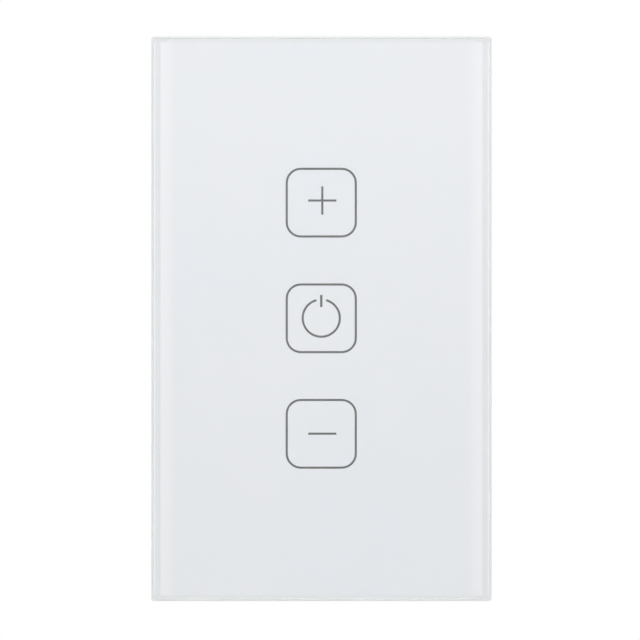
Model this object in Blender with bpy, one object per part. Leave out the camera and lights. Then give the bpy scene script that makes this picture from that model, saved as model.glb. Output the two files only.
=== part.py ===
"""A touch dimmer switch for a single wall box: glass front panel, mounting strap, and electronics housing.

Metres, +Z up, +X to the right, +Y into the wall. The origin is on the wall plane, at the middle of
the mounting strap. The front panel pulls off towards -Y, and four rising clamps take the wires.
"""

import math

import bmesh
import bpy

# Clearances
FIT = 0.0003  # between two pieces that seat on each other or move past each other
BOND = 0.0001  # glue line between the glass, the printed film and the carrier
PANEL_FIT = 0.0006  # round the base cover, inside the panel's skirt
OVERLAP = 0.0004  # how far shapes of one moulding run into each other
CUT_OVER = 0.0010  # how far a cutter stands out of what it cuts
NEARLY = 0.999  # a half circle of slightly less than its chord, so that no two corners meet

# Glass panel
GLASS_THICKNESS = 0.0040
GLASS_ARRIS = 0.0004
GLASS_CORNER = 0.0005

# Printed film on the back of the glass
FILM_THICKNESS = 0.00025
FILM_SIDE_INSET = 0.0018
FILM_END_INSET = 0.0010
FILM_CORNER = 0.0004

# Touch keys, one above the other on the centre line
KEY_NAMES = ("upper", "middle", "lower")
KEY_PITCH = 0.0245

# Panel carrier
CARRIER_INSET = 0.00035
CARRIER_WALL = 0.0016
CARRIER_PLATE = 0.0015
CARRIER_WALL_GAP = 0.0005
CARRIER_CORNER = 0.0014
CARRIER_REAR_ROUND = 0.0005
CARRIER_INSIDE_CORNER = 0.0006
PANEL_SPACE = 0.00115  # between the carrier's plate and the base cover
CHIMNEY_BORE = 0.0114
CHIMNEY_WALL = 0.0009
CHIMNEY_BOARD_GAP = 0.0006
CHIMNEY_TRAY_GAP = 0.0004
RIB_WIDTH = 0.0010
RIB_SPACING = 0.0250
PRY_WIDTH = 0.0100
PRY_DEPTH = 0.0014
POST_SIDE = 0.0044
POST_END = 0.01095
POST_DIAMETER = 0.0038
POST_BULB = 0.0002
POST_SPLIT = 0.0009
POST_BULB_LENGTH = 0.0017
POST_TIP = 0.0006
POST_WALL_GAP = 0.0009

# Base cover
BASE_PLATE = 0.0014
BASE_SKIRT = 0.0014
BASE_CORNER = 0.0020
BASE_WALL_GAP = 0.0003
SOCKET_WALL = 0.0009
WINDOW_MARGIN = 0.0030
WINDOW_CORNER = 0.0020
TRAY_WALL = 0.0014
TRAY_FLOOR = 0.0012
TRAY_CORNER = 0.0012
LEDGE_LENGTH = 0.0040
LEDGE_WIDTH = 0.0012
LEDGE_CORNER = 0.0070  # tray's notched corner to the ledge next to it
FOOT_INSET = 0.0045
STAKE_DIAMETER = 0.0024
STAKE_HEAD = 0.0038
STAKE_HEAD_HEIGHT = 0.0008
STAKE_INSET = 0.0032

# Mounting strap
STRAP_THICKNESS = 0.0012
STRAP_JOGGLE = 0.0015
STRAP_CORNER = 0.0020
STRAP_EDGE_ROUND = 0.0009
STRAP_SIDE_GAP = 0.0042
STRAP_END_GAP = 0.00305
STRAP_WINDOW_GAP = 0.0004
PAN_RAIL = 0.0050
PAN_MARGIN = 0.0005
EAR_STEP = 0.0060
JOGGLE_RUN = 0.0025
JOGGLE_STEPS = 6
SLOT_EDGE = 0.00135  # end of the joggle to the slot for the box screw
SLOT_WIDTH = 0.0090
SLOT_HEIGHT = 0.0046
TAPPED_OFFSET = 0.00675  # slot to tapped hole
TAPPED_DIAMETER = 0.0030
TAPPED_EDGE = 0.0046  # tapped hole to the strap's end
EAR_NOTCH_WIDTH = 0.0200
EAR_NOTCH_DEPTH = 0.0020
SCORE_LENGTH = 0.0024
SCORE_WIDTH = 0.0009
SCORE_OFFSET = 0.0075  # strap's end to the line where its corner ears snap off

# Rear housing
HOUSING_WALL = 0.0018
HOUSING_CORNER = 0.0040
HOUSING_DRAFT = 0.0003
REAR_ROUND = 0.0016
BAY_MARGIN = 0.0011
BOSS_DIAMETER = 0.0050
BOSS_BLOCK_GAP = 0.0006
VENT_WIDTH = 0.0016
VENT_LENGTH = 0.0130
VENT_PITCH = 0.0040
VENT_COUNT = 6
VENT_ROW_GAP = 0.0035
SIDE_VENT_COUNT = 4
SIDE_VENT_LENGTH = 0.0090
SHELF_WIDTH = 0.0015
SHELF_REACH = 0.0022
SHELF_OFFSET = 0.0164  # bosses to the shelf ribs that carry the power board

# Housing screws
SCREW_DIAMETER = 0.0024
SCREW_HEAD = 0.0046
SCREW_LENGTH = 0.0100
SCREW_HEAD_CONE = 0.0011
CROSS_LENGTH = 0.0026
CROSS_WIDTH = 0.0006
CROSS_DEPTH = 0.0008
PILOT_SPARE = 0.0015

# Touch board
TOUCH_BOARD_THICKNESS = 0.0012
TOUCH_BOARD_SETBACK = 0.0018  # front of the base cover to the front of the board
CHIP_WIDTH = 0.0039
CHIP_LENGTH = 0.0099
CHIP_HEIGHT = 0.0014
CHIP_OFFSET = 0.00725  # connector to chip
LED_WIDTH = 0.0028
LED_DEPTH = 0.0032
LED_HEIGHT = 0.0014
LED_SLOPE = 0.0003
RADIO_WIDTH = 0.0180
RADIO_LENGTH = 0.0240
RADIO_BOARD = 0.0008
RADIO_EDGE = 0.0097
CAN_WIDTH = 0.0140
CAN_LENGTH = 0.0160
CAN_HEIGHT = 0.0018
CAN_GAP = 0.0008

# Touch springs
SPRING_WIRE = 0.0006
SPRING_TOP = 0.0090  # mean diameter of the coil under the glass
SPRING_FOOT = 0.0064
SPRING_TURNS = 4.0
SPRING_FLAT = 0.8  # flat part of each end turn, in turns
SPRING_STEPS = 14  # points in a turn

# Board connector
PIN_COUNT = 5
PIN_PITCH = 0.00254
PIN_SIZE = 0.00064
PIN_HOLE = 0.0012
CONNECTOR_WIDTH = 0.0026
CONNECTOR_BODY = 0.0023
CONNECTOR_EDGE = 0.0074
PIN_END_GAP = 0.0006

# Power board
POWER_BOARD_THICKNESS = 0.0016
BOARD_EDGE_GAP = 0.0004

# Terminal block and its rising clamps
POLE_COUNT = 4
POLE_PITCH = 0.0075
BLOCK_SETBACK = 0.0003
BLOCK_SIDE = 0.0003
BLOCK_MOUTH_WALL = 0.0016
BLOCK_BACK_WALL = 0.0023
BLOCK_REAR_EDGE = 0.0005
BLOCK_PROUD = 0.0018  # how far the block stands out of the floor of its bay
WIRE_MOUTH_LEAD = 0.0006
WIRE_GAP = 0.0043
CAGE_INSIDE = 0.0044
CAGE_SIDE = 0.0008
CAGE_WALL = 0.0009
CAGE_NUT = 0.0016
CAGE_LENGTH = 0.0065
CAGE_REST_GAP = 0.0005
BAR_THICKNESS = 0.0008
BAR_SIDE_GAP = 0.0004
BAR_TIP_GAP = 0.0004
BAR_PIN = 0.0010
BAR_PIN_GAP = 0.0006
CLAMP_TRAVEL = 0.0039
SEAT_WALL = 0.0012
THREAD_DIAMETER = 0.0035
THREAD_FIT = 0.0002
HEAD_DIAMETER = 0.0048
HEAD_HEIGHT = 0.0019
HEAD_RECESS = 0.0003
SCREW_EDGE = 0.0004
DRIVER_SLOT = 0.0009
DRIVER_SLOT_DEPTH = 0.0011

# Heat sink and power transistors
SINK_SHEET = 0.0012
SINK_WING = 0.0060
SINK_END_GAP = 0.0015
SINK_OVER_TAB = 0.0001
SINK_REAR_GAP = 0.0011
SINK_BOSS_GAP = 0.0009
TRANSISTOR_WIDTH = 0.0100
TRANSISTOR_THICKNESS = 0.0044
TRANSISTOR_BODY = 0.0092
TRANSISTOR_TAB = 0.0130  # front of the body to the hole in the tab
TRANSISTOR_GAP = 0.0035
TAB_THICKNESS = 0.0013
TAB_HOLE = 0.0036
TAB_BEYOND_HOLE = 0.0027
LEG_LENGTH = 0.0022
LEG_PITCH = 0.00254
LEG_WIDTH = 0.0008
CLIP_SCREW_HEAD = 0.0054
CLIP_SCREW_DIAMETER = 0.0028
CLIP_HEAD_HEIGHT = 0.0018
CLIP_SCREW_END = 0.0006

# Other parts on the power board
PART_EDGE_GAP = 0.0008
PART_ROW_GAP = 0.0010
PART_ROUND = 0.0006
PART_EASE = 0.0003
FILM_CAPACITOR_WIDTH = 0.0175
FILM_CAPACITOR_LENGTH = 0.0060
FILM_CAPACITOR_HEIGHT = 0.0120
ELECTROLYTIC_DIAMETER = 0.0080
ELECTROLYTIC_HEIGHT = 0.0140
CAN_GROOVE = 0.0012  # seat to the rolled groove, and its width
CAN_GROOVE_DEPTH = 0.0004
CHOKE_DIAMETER = 0.0090
CHOKE_HEIGHT = 0.0105
CHOKE_WAIST = 0.0050
CHOKE_FLANGE = 0.0016
CHOKE_WIRE_INSET = 0.0006
TRANSFORMER_WIDTH = 0.0130
TRANSFORMER_LENGTH = 0.0126
TRANSFORMER_HEIGHT = 0.0110
TRANSFORMER_CORE = 0.0060
TRANSFORMER_LEG = 0.0028
TRANSFORMER_YOKE = 0.0021
COIL_CORNER = 0.0012
FUSE_DIAMETER = 0.0084
FUSE_HEIGHT = 0.0075
VARISTOR_DIAMETER = 0.0090
VARISTOR_THICKNESS = 0.0036
BRIDGE_WIDTH = 0.0084
BRIDGE_LENGTH = 0.0064
BRIDGE_HEIGHT = 0.0032

# Across: the row of terminals sets the housing, and the housing sets the strap and the panel
BLOCK_HALF = POLE_COUNT * POLE_PITCH / 2 + BLOCK_SIDE
TRAY_HALF_X = BLOCK_HALF + BOSS_BLOCK_GAP + BOSS_DIAMETER
INNER_HALF_X = TRAY_HALF_X + FIT
HOUSING_WIDTH = 2 * (INNER_HALF_X + HOUSING_WALL)
PAN_WIDTH = HOUSING_WIDTH + 2 * PAN_RAIL
EAR_WIDTH = PAN_WIDTH - 2 * EAR_STEP
BASE_HALF_X = PAN_WIDTH / 2 + STRAP_SIDE_GAP + BASE_SKIRT
CARRIER_INNER_X = BASE_HALF_X + PANEL_FIT
CARRIER_HALF_X = CARRIER_INNER_X + CARRIER_WALL
GLASS_WIDTH = 2 * (CARRIER_HALF_X + CARRIER_INSET)  # 72.3 mm

# Upwards: the row of keys sets the tray and the housing, and these the strap and the panel
KEY_HEIGHTS = (KEY_PITCH, 0.0, -KEY_PITCH)
CHIMNEY_DIAMETER = CHIMNEY_BORE + 2 * CHIMNEY_WALL
TRAY_HALF_Z = KEY_PITCH + CHIMNEY_DIAMETER / 2 + CHIMNEY_TRAY_GAP + TRAY_WALL
INNER_HALF_Z = TRAY_HALF_Z + FIT
HOUSING_HEIGHT = 2 * (INNER_HALF_Z + HOUSING_WALL)
PAN_HEIGHT = HOUSING_HEIGHT + 2 * PAN_MARGIN
SLOT_SPACING = PAN_HEIGHT + 2 * (JOGGLE_RUN + SLOT_EDGE) + SLOT_HEIGHT  # 83.3 mm
TAPPED_SPACING = SLOT_SPACING + 2 * TAPPED_OFFSET
STRAP_LENGTH = TAPPED_SPACING + 2 * TAPPED_EDGE
BASE_HALF_Z = STRAP_LENGTH / 2 + STRAP_END_GAP + BASE_SKIRT
CARRIER_INNER_Z = BASE_HALF_Z + PANEL_FIT
CARRIER_HALF_Z = CARRIER_INNER_Z + CARRIER_WALL
GLASS_HEIGHT = 2 * (CARRIER_HALF_Z + CARRIER_INSET)  # 120.0 mm

# Outwards from the wall plane
STRAP_FRONT = -STRAP_JOGGLE - STRAP_THICKNESS
BASE_REAR = STRAP_FRONT - FIT
BASE_FRONT = BASE_REAR - BASE_PLATE
CARRIER_BACK = BASE_FRONT - PANEL_SPACE
POCKET_FLOOR = CARRIER_BACK - CARRIER_PLATE
FILM_BACK = POCKET_FLOOR - BOND
FILM_FRONT = FILM_BACK - FILM_THICKNESS
GLASS_BACK = FILM_FRONT - BOND
GLASS_FRONT = GLASS_BACK - GLASS_THICKNESS  # 11.5 mm in front of the wall
CARRIER_FRONT = FILM_FRONT

# Inwards from the base cover
BOARD_FRONT = BASE_FRONT + TOUCH_BOARD_SETBACK
BOARD_REAR = BOARD_FRONT + TOUCH_BOARD_THICKNESS
BOARD_PARTS = BOARD_REAR + FIT
CAN_SEAT = BOARD_PARTS + RADIO_BOARD + BOND
TRAY_INSIDE = CAN_SEAT + CAN_HEIGHT + CAN_GAP
TRAY_REAR = TRAY_INSIDE + TRAY_FLOOR
POWER_FRONT = TRAY_REAR + BAR_PIN_GAP + BAR_PIN
POWER_REAR = POWER_FRONT + POWER_BOARD_THICKNESS
PART_SEAT = POWER_REAR + FIT
SINK_HEIGHT = LEG_LENGTH + TRANSISTOR_TAB + TAB_BEYOND_HOLE + SINK_OVER_TAB
HOUSING_FRONT = -STRAP_JOGGLE + FIT
HOUSING_INSIDE_REAR = PART_SEAT + SINK_HEIGHT + SINK_REAR_GAP
HOUSING_DEPTH = HOUSING_INSIDE_REAR + HOUSING_WALL  # 28.0 mm behind the wall plane

# Corner bosses, and the corners that the tray and both boards leave free for them
BOSS_X = TRAY_HALF_X - BOSS_DIAMETER / 2
BOSS_Z = TRAY_HALF_Z - BOSS_DIAMETER / 2
NOTCH_X = BOSS_X - BOSS_DIAMETER / 2 - FIT
NOTCH_Z = BOSS_Z - BOSS_DIAMETER / 2 - FIT

# Front panel's posts
POST_X = BASE_HALF_X - POST_SIDE
POST_Z = BASE_HALF_Z - POST_END

LEDGE_Z = NOTCH_Z - LEDGE_CORNER

# Touch board's own parts
BOARD_TOP = TRAY_HALF_Z - TRAY_WALL - FIT
CONNECTOR_Z = BOARD_TOP - CONNECTOR_EDGE - CONNECTOR_WIDTH / 2
CHIP_Z = CONNECTOR_Z - CONNECTOR_WIDTH / 2 - CHIP_OFFSET - CHIP_WIDTH / 2
RADIO_Z = -BOARD_TOP + RADIO_EDGE + RADIO_LENGTH / 2
STAKE_X = TRAY_HALF_X - TRAY_WALL - STAKE_INSET
STAKE_PLACES = ((-STAKE_X, 0.0), (STAKE_X, 0.0))

# The rising clamp, from the board to the head of its screw
CAGE_FRONT = PART_SEAT + CAGE_REST_GAP
GAP_FRONT = CAGE_FRONT + CAGE_WALL
BAR_FRONT = GAP_FRONT + WIRE_GAP
BAR_REAR = BAR_FRONT + BAR_THICKNESS
NUT_FRONT = BAR_REAR + THREAD_FIT
CAGE_REAR = NUT_FRONT + CAGE_NUT
SEAT_FRONT = CAGE_REAR + CLAMP_TRAVEL + FIT
SEAT_REAR = SEAT_FRONT + SEAT_WALL
HEAD_FRONT = SEAT_REAR + FIT
HEAD_REAR = HEAD_FRONT + HEAD_HEIGHT
BLOCK_REAR = HEAD_REAR + HEAD_RECESS
BAY_FLOOR = BLOCK_REAR - BLOCK_PROUD
BAR_WIDTH = CAGE_INSIDE - 2 * BAR_SIDE_GAP
WIRE_MOUTH = WIRE_GAP + WIRE_MOUTH_LEAD
CAGE_HALF = CAGE_INSIDE / 2 + CAGE_SIDE
BLOCK_BOTTOM = -HOUSING_HEIGHT / 2 + BLOCK_SETBACK
CAGE_BOTTOM = BLOCK_BOTTOM + BLOCK_MOUTH_WALL + FIT
CAGE_TOP = CAGE_BOTTOM + CAGE_LENGTH
CLAMP_Z = (CAGE_BOTTOM + CAGE_TOP) / 2
LEG_Z = CAGE_TOP + FIT + BAR_THICKNESS
BLOCK_TOP = LEG_Z + FIT + BLOCK_BACK_WALL
BAY_TOP = BLOCK_TOP + BAY_MARGIN
VENT_MIDDLE = (BAY_TOP + HOUSING_HEIGHT / 2) / 2
SHELF_Z = BOSS_Z - SHELF_OFFSET

# Places of the parts on the power board, in rows from both ends
PART_SIDE = INNER_HALF_X - SHELF_REACH - PART_EDGE_GAP
LOW_ROW_Z = BLOCK_TOP + PART_ROW_GAP + FUSE_DIAMETER / 2
FUSE_AT = (-PART_SIDE + FUSE_DIAMETER / 2, LOW_ROW_Z)
VARISTOR_AT = (PART_SIDE - VARISTOR_DIAMETER / 2, LOW_ROW_Z)
SECOND_ROW_Z = LOW_ROW_Z + (FUSE_DIAMETER + CHOKE_DIAMETER) / 2 + PART_ROW_GAP
FILM_CAPACITOR_AT = (-PART_SIDE + FILM_CAPACITOR_WIDTH / 2, SECOND_ROW_Z)
CHOKE_AT = (PART_SIDE - CHOKE_DIAMETER / 2, SECOND_ROW_Z)
TRANSISTOR_X = (TRANSISTOR_GAP + TRANSISTOR_WIDTH) / 2
SINK_WIDTH = 2 * (TRANSISTOR_X + TRANSISTOR_WIDTH / 2 + SINK_END_GAP + SINK_SHEET)
SINK_Z = NOTCH_Z - SINK_BOSS_GAP - SINK_SHEET
TOP_ROW_Z = SINK_Z - FIT - TRANSISTOR_THICKNESS - CLIP_HEAD_HEIGHT - TRANSFORMER_LENGTH / 2
TRANSFORMER_AT = (-PART_SIDE + TRANSFORMER_WIDTH / 2, TOP_ROW_Z)
ELECTROLYTIC_AT = (PART_SIDE - ELECTROLYTIC_DIAMETER / 2, TOP_ROW_Z)
BRIDGE_AT = ((TRANSFORMER_WIDTH - ELECTROLYTIC_DIAMETER) / 2, TOP_ROW_Z)
TAB_HOLE_Y = PART_SEAT + LEG_LENGTH + TRANSISTOR_TAB


def clear_scene():
    for thing in list(bpy.data.objects):
        bpy.data.objects.remove(thing, do_unlink=True)


def linear(channel):
    return channel / 12.92 if channel <= 0.04045 else ((channel + 0.055) / 1.055) ** 2.4


def material(name, colour, roughness, metallic=0.0):
    """A Principled material; the colour is an sRGB hex string."""
    made = bpy.data.materials.get(name)
    if made:
        return made
    made = bpy.data.materials.new(name)
    made.use_nodes = True
    shader = made.node_tree.nodes["Principled BSDF"]
    channels = [linear(int(colour[i : i + 2], 16) / 255) for i in (0, 2, 4)]
    shader.inputs["Base Color"].default_value = (*channels, 1.0)
    shader.inputs["Roughness"].default_value = roughness
    shader.inputs["Metallic"].default_value = metallic
    return made


def clear_glass():
    made = material("toughened_glass", "F4FBF9", 0.02)
    shader = made.node_tree.nodes["Principled BSDF"]
    shader.inputs["Transmission Weight"].default_value = 1.0
    shader.inputs["IOR"].default_value = 1.52
    return made


def white_ink():
    return material("printed_film", "EDF0F2", 0.45)


def white_plastic():
    return material("white_abs", "EEF0F0", 0.42)


def housing_plastic():
    return material("white_polycarbonate", "E6E8E8", 0.5)


def galvanised_steel():
    return material("galvanised_steel", "B9BCBE", 0.38, 1.0)


def zinc_screw():
    return material("zinc_plated_screw", "C4C6C8", 0.3, 1.0)


def spring_steel():
    return material("tinned_spring_wire", "C9CACC", 0.28, 1.0)


def board_laminate():
    return material("green_board_laminate", "1F5A3A", 0.45)


def black_resin():
    return material("black_moulded_resin", "1C1D1F", 0.5)


def brass():
    return material("tinned_brass", "C8B88A", 0.3, 1.0)


def aluminium():
    return material("aluminium_sheet", "C6C8CA", 0.35, 1.0)


def terminal_plastic():
    return material("terminal_polyamide", "D9DCDC", 0.5)


def ferrite():
    return material("ferrite", "2B2C2E", 0.6)


def linked(name, bm, finish, smooth_above=None, at=(0, 0, 0)):
    """An object from a bmesh, which is freed; round pieces are smooth below the angle given in degrees."""
    mesh = bpy.data.meshes.new(name)
    bm.to_mesh(mesh)
    bm.free()
    mesh.materials.append(finish)
    if smooth_above is not None:
        mesh.shade_smooth()
        mesh.set_sharp_from_angle(angle=math.radians(smooth_above))
    made = bpy.data.objects.new(name, mesh)
    made.location = at
    bpy.context.scene.collection.objects.link(made)
    return made


def shape(target, operation, bm, label):
    """Joins a shape to the target, cuts it away or keeps what both share, by a Boolean modifier."""
    mesh = bpy.data.meshes.new(f"{target.name}_{label}")
    bm.to_mesh(mesh)
    bm.free()
    tool = bpy.data.objects.new(mesh.name, mesh)
    tool.hide_render = True
    tool.display_type = "WIRE"
    bpy.context.scene.collection.objects.link(tool)
    modifier = target.modifiers.new(label, "BOOLEAN")
    modifier.operation = operation
    modifier.solver = "EXACT"
    modifier.object = tool
    return tool


def rectangle(width, height, centre=(0, 0)):
    x, z = centre
    return [(x + sx * width / 2, z + sz * height / 2) for sx, sz in ((1, 1), (-1, 1), (-1, -1), (1, -1))]


def rounded(corners, radius, steps=4):
    """The outline through these corners, each turned into an arc of the radius."""
    points = []
    count = len(corners)
    for i, (x, z) in enumerate(corners):
        ax, az = corners[i - 1][0] - x, corners[i - 1][1] - z
        bx, bz = corners[(i + 1) % count][0] - x, corners[(i + 1) % count][1] - z
        a_len, b_len = math.hypot(ax, az), math.hypot(bx, bz)
        ax, az, bx, bz = ax / a_len, az / a_len, bx / b_len, bz / b_len
        half = math.acos(max(-1.0, min(1.0, ax * bx + az * bz))) / 2
        reach = radius / math.tan(half)
        mx, mz = ax + bx, az + bz
        m_len = math.hypot(mx, mz)
        to_centre = radius / math.sin(half)
        cx, cz = x + mx / m_len * to_centre, z + mz / m_len * to_centre
        start = math.atan2(z + az * reach - cz, x + ax * reach - cx)
        end = math.atan2(z + bz * reach - cz, x + bx * reach - cx)
        sweep = (end - start + math.pi) % (2 * math.pi) - math.pi
        for step in range(steps + 1):
            angle = start + sweep * step / steps
            points.append((cx + radius * math.cos(angle), cz + radius * math.sin(angle)))
    return points


def circle(diameter, centre=(0, 0), steps=16):
    turn = 2 * math.pi / steps
    return [
        (centre[0] + diameter / 2 * math.cos(turn * i), centre[1] + diameter / 2 * math.sin(turn * i))
        for i in range(steps)
    ]


def slot(length, width, centre=(0, 0), upright=False, steps=4):
    """An outline with round ends, lying along X or standing along Z."""
    size = (width, length) if upright else (length, width)
    return rounded(rectangle(*size, centre), width / 2 * NEARLY, steps)


def mirrored(quarter):
    """The whole outline from its upper right quarter, given anticlockwise."""
    left = [(-x, z) for x, z in reversed(quarter)]
    lower_left = [(-x, -z) for x, z in quarter]
    lower_right = [(x, -z) for x, z in reversed(quarter)]
    return quarter + left + lower_left + lower_right


def cross_outline(half_width, half_height, notch_x, notch_z):
    """A rectangle with its four corners cut out."""
    return mirrored([(half_width, notch_z), (notch_x, notch_z), (notch_x, half_height)])


def loft(sections):
    """A closed solid through (y, outline) sections that have as many points each."""
    bm = bmesh.new()
    rings = [[bm.verts.new((x, y, z)) for x, z in outline] for y, outline in sections]
    bm.faces.new(rings[0])
    bm.faces.new(rings[-1])
    for near, far in zip(rings, rings[1:]):
        for i, vertex in enumerate(near):
            j = (i + 1) % len(near)
            bm.faces.new((vertex, near[j], far[j], far[i]))
    bmesh.ops.recalc_face_normals(bm, faces=bm.faces)
    return bm


def prism(outline, y_front, y_rear):
    return loft([(y_front, outline), (y_rear, outline)])


def block(x_range, y_range, z_range):
    centre = ((x_range[0] + x_range[1]) / 2, (z_range[0] + z_range[1]) / 2)
    return prism(rectangle(x_range[1] - x_range[0], z_range[1] - z_range[0], centre), *y_range)


def pierced(outline, holes, y_front, y_rear):
    """A flat piece with through holes: its outlines are filled together, then extruded."""
    bm = bmesh.new()
    edges = []
    for loop in (outline, *holes):
        corners = [bm.verts.new((x, y_front, z)) for x, z in loop]
        edges += [bm.edges.new(pair) for pair in zip(corners, corners[1:] + corners[:1])]
    bmesh.ops.triangle_fill(bm, use_beauty=True, use_dissolve=False, edges=edges)
    grown = bmesh.ops.extrude_face_region(bm, geom=bm.faces[:])
    moved = [item for item in grown["geom"] if isinstance(item, bmesh.types.BMVert)]
    bmesh.ops.translate(bm, verts=moved, vec=(0, y_rear - y_front, 0))
    bmesh.ops.recalc_face_normals(bm, faces=bm.faces)
    return bm


def swept(outline, near, far, place):
    """A closed solid between two copies of an outline of (u, v) points, put in space by place(u, v, w)."""
    bm = bmesh.new()
    rings = [[bm.verts.new(place(u, v, w)) for u, v in outline] for w in (near, far)]
    bm.faces.new(rings[0])
    bm.faces.new(rings[1])
    for i, vertex in enumerate(rings[0]):
        j = (i + 1) % len(outline)
        bm.faces.new((vertex, rings[0][j], rings[1][j], rings[1][i]))
    bmesh.ops.recalc_face_normals(bm, faces=bm.faces)
    return bm


def across(outline, half_width):
    """A solid whose (y, z) outline is the same all across its width."""
    return swept(outline, -half_width, half_width, lambda y, z, x: (x, y, z))


def upright_cylinder(x, y, diameter, z_low, z_high, steps=16):
    """A cylinder along Z."""
    return swept(circle(diameter, (x, y), steps), z_low, z_high, lambda a, b, z: (a, b, z))


def turned(profile, steps, centre=(0, 0)):
    """A solid of revolution about a line along Y, from (radius, y) points that start and end at radius 0."""
    bm = bmesh.new()
    rings = []
    for radius, y in profile:
        points = circle(2 * radius, centre, steps) if radius else [centre]
        rings.append([bm.verts.new((x, y, z)) for x, z in points])
    for near, far in zip(rings, rings[1:]):
        for i in range(steps):
            j = (i + 1) % steps
            corners = [near[i % len(near)], near[j % len(near)], far[j % len(far)], far[i % len(far)]]
            bm.faces.new(list(dict.fromkeys(corners)))
    bmesh.ops.recalc_face_normals(bm, faces=bm.faces)
    return bm


def merged(*meshes):
    """Separate shapes in one bmesh, for a single Boolean."""
    whole = bmesh.new()
    for bm in meshes:
        spare = bpy.data.meshes.new("spare")
        bm.to_mesh(spare)
        bm.free()
        whole.from_mesh(spare)
        bpy.data.meshes.remove(spare)
    return whole


def four_corners(x, z):
    return [(sx * x, sz * z) for sx in (-1, 1) for sz in (-1, 1)]


def empty(name, at):
    made = bpy.data.objects.new(name, None)
    made.location = at
    bpy.context.scene.collection.objects.link(made)
    return made


def carried_by(parent, child):
    child.parent = parent
    child.location = [c - p for c, p in zip(child.location, parent.location)]


# Front panel


def glass_panel():
    """Toughened plate with a ground arris round both faces."""
    full = rounded(rectangle(GLASS_WIDTH, GLASS_HEIGHT), GLASS_CORNER, 3)
    small_size = (GLASS_WIDTH - 2 * GLASS_ARRIS, GLASS_HEIGHT - 2 * GLASS_ARRIS)
    small = rounded(rectangle(*small_size), GLASS_CORNER / 2, 3)
    sections = [
        (GLASS_FRONT, small),
        (GLASS_FRONT + GLASS_ARRIS, full),
        (GLASS_BACK - GLASS_ARRIS, full),
        (GLASS_BACK, small),
    ]
    return linked("glass_panel", loft(sections), clear_glass())


def film_size(extra=0.0):
    return GLASS_WIDTH - 2 * FILM_SIDE_INSET + 2 * extra, GLASS_HEIGHT - 2 * FILM_END_INSET + 2 * extra


def printed_film():
    outline = rounded(rectangle(*film_size()), FILM_CORNER, 2)
    return linked("printed_film", prism(outline, FILM_FRONT, FILM_BACK), white_ink())


def snap_post(x, z):
    """A post with a swollen tip, which its socket in the base cover holds by friction."""
    radius = POST_DIAMETER / 2
    tip = -POST_WALL_GAP
    bulb_rear = tip - POST_TIP
    profile = [
        (0, CARRIER_BACK - OVERLAP),
        (radius, CARRIER_BACK - OVERLAP),
        (radius, bulb_rear - POST_BULB_LENGTH),
        (radius + POST_BULB, bulb_rear - POST_BULB_LENGTH / 2),
        (radius, bulb_rear),
        (radius - POST_TIP, tip),
        (0, tip),
    ]
    return turned(profile, 12, (x, z))


def panel_carrier():
    """Moulded frame behind the glass: pocket for the film, skirt to the wall, light chimneys and posts."""
    width, height = 2 * CARRIER_HALF_X, 2 * CARRIER_HALF_Z
    outer = rounded(rectangle(width, height), CARRIER_CORNER)
    drawn_in = rounded(
        rectangle(width - 2 * CARRIER_REAR_ROUND, height - 2 * CARRIER_REAR_ROUND),
        CARRIER_CORNER - CARRIER_REAR_ROUND / 2,
    )
    rear = -CARRIER_WALL_GAP
    sections = [(CARRIER_FRONT, outer), (rear - CARRIER_REAR_ROUND, outer), (rear, drawn_in)]
    carrier = linked("panel_carrier", loft(sections), white_plastic())
    pocket = rounded(rectangle(*film_size(FIT)), FILM_CORNER, 2)
    shape(carrier, "DIFFERENCE", prism(pocket, CARRIER_FRONT - CUT_OVER, POCKET_FLOOR), "film_pocket")
    inside = rounded(rectangle(2 * CARRIER_INNER_X, 2 * CARRIER_INNER_Z), CARRIER_INSIDE_CORNER, 2)
    shape(carrier, "DIFFERENCE", prism(inside, CARRIER_BACK, CUT_OVER), "inside")

    rib_front, rib_rear = CARRIER_BACK - OVERLAP, BASE_FRONT - FIT
    chimney_rear = BOARD_FRONT - CHIMNEY_BOARD_GAP
    chimneys = [prism(circle(CHIMNEY_DIAMETER, (0, z), 24), rib_front, chimney_rear) for z in KEY_HEIGHTS]
    shape(carrier, "UNION", merged(*chimneys), "chimneys")
    long_ribs = [
        block((x - RIB_WIDTH / 2, x + RIB_WIDTH / 2), (rib_front, rib_rear), (-POST_Z, POST_Z))
        for x in (-RIB_SPACING, RIB_SPACING)
    ]
    shape(carrier, "UNION", merged(*long_ribs), "long_ribs")
    reach = CARRIER_INNER_X + OVERLAP
    cross_ribs = [
        block((-reach, reach), (rib_front, rib_rear), (z - RIB_WIDTH / 2, z + RIB_WIDTH / 2))
        for z in (-1.5 * KEY_PITCH, -KEY_PITCH / 2, KEY_PITCH / 2, 1.5 * KEY_PITCH)
    ]
    shape(carrier, "UNION", merged(*cross_ribs), "cross_ribs")
    posts = [snap_post(x, z) for x, z in four_corners(POST_X, POST_Z)]
    shape(carrier, "UNION", merged(*posts), "snap_posts")
    bores = [prism(circle(CHIMNEY_BORE, (0, z), 24), POCKET_FLOOR - CUT_OVER, CUT_OVER) for z in KEY_HEIGHTS]
    shape(carrier, "DIFFERENCE", merged(*bores), "chimney_bores")
    splits = [
        block(
            (x - POST_DIAMETER, x + POST_DIAMETER),
            (BASE_FRONT, CUT_OVER),
            (z - POST_SPLIT / 2, z + POST_SPLIT / 2),
        )
        for x, z in four_corners(POST_X, POST_Z)
    ]
    shape(carrier, "DIFFERENCE", merged(*splits), "post_splits")
    pry_z = (-CARRIER_HALF_Z - CUT_OVER, -BASE_HALF_Z)
    pry = block((-PRY_WIDTH / 2, PRY_WIDTH / 2), (rear - PRY_DEPTH, CUT_OVER), pry_z)
    shape(carrier, "DIFFERENCE", pry, "pry_notch")
    return carrier


# Base cover, strap and housing


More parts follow.
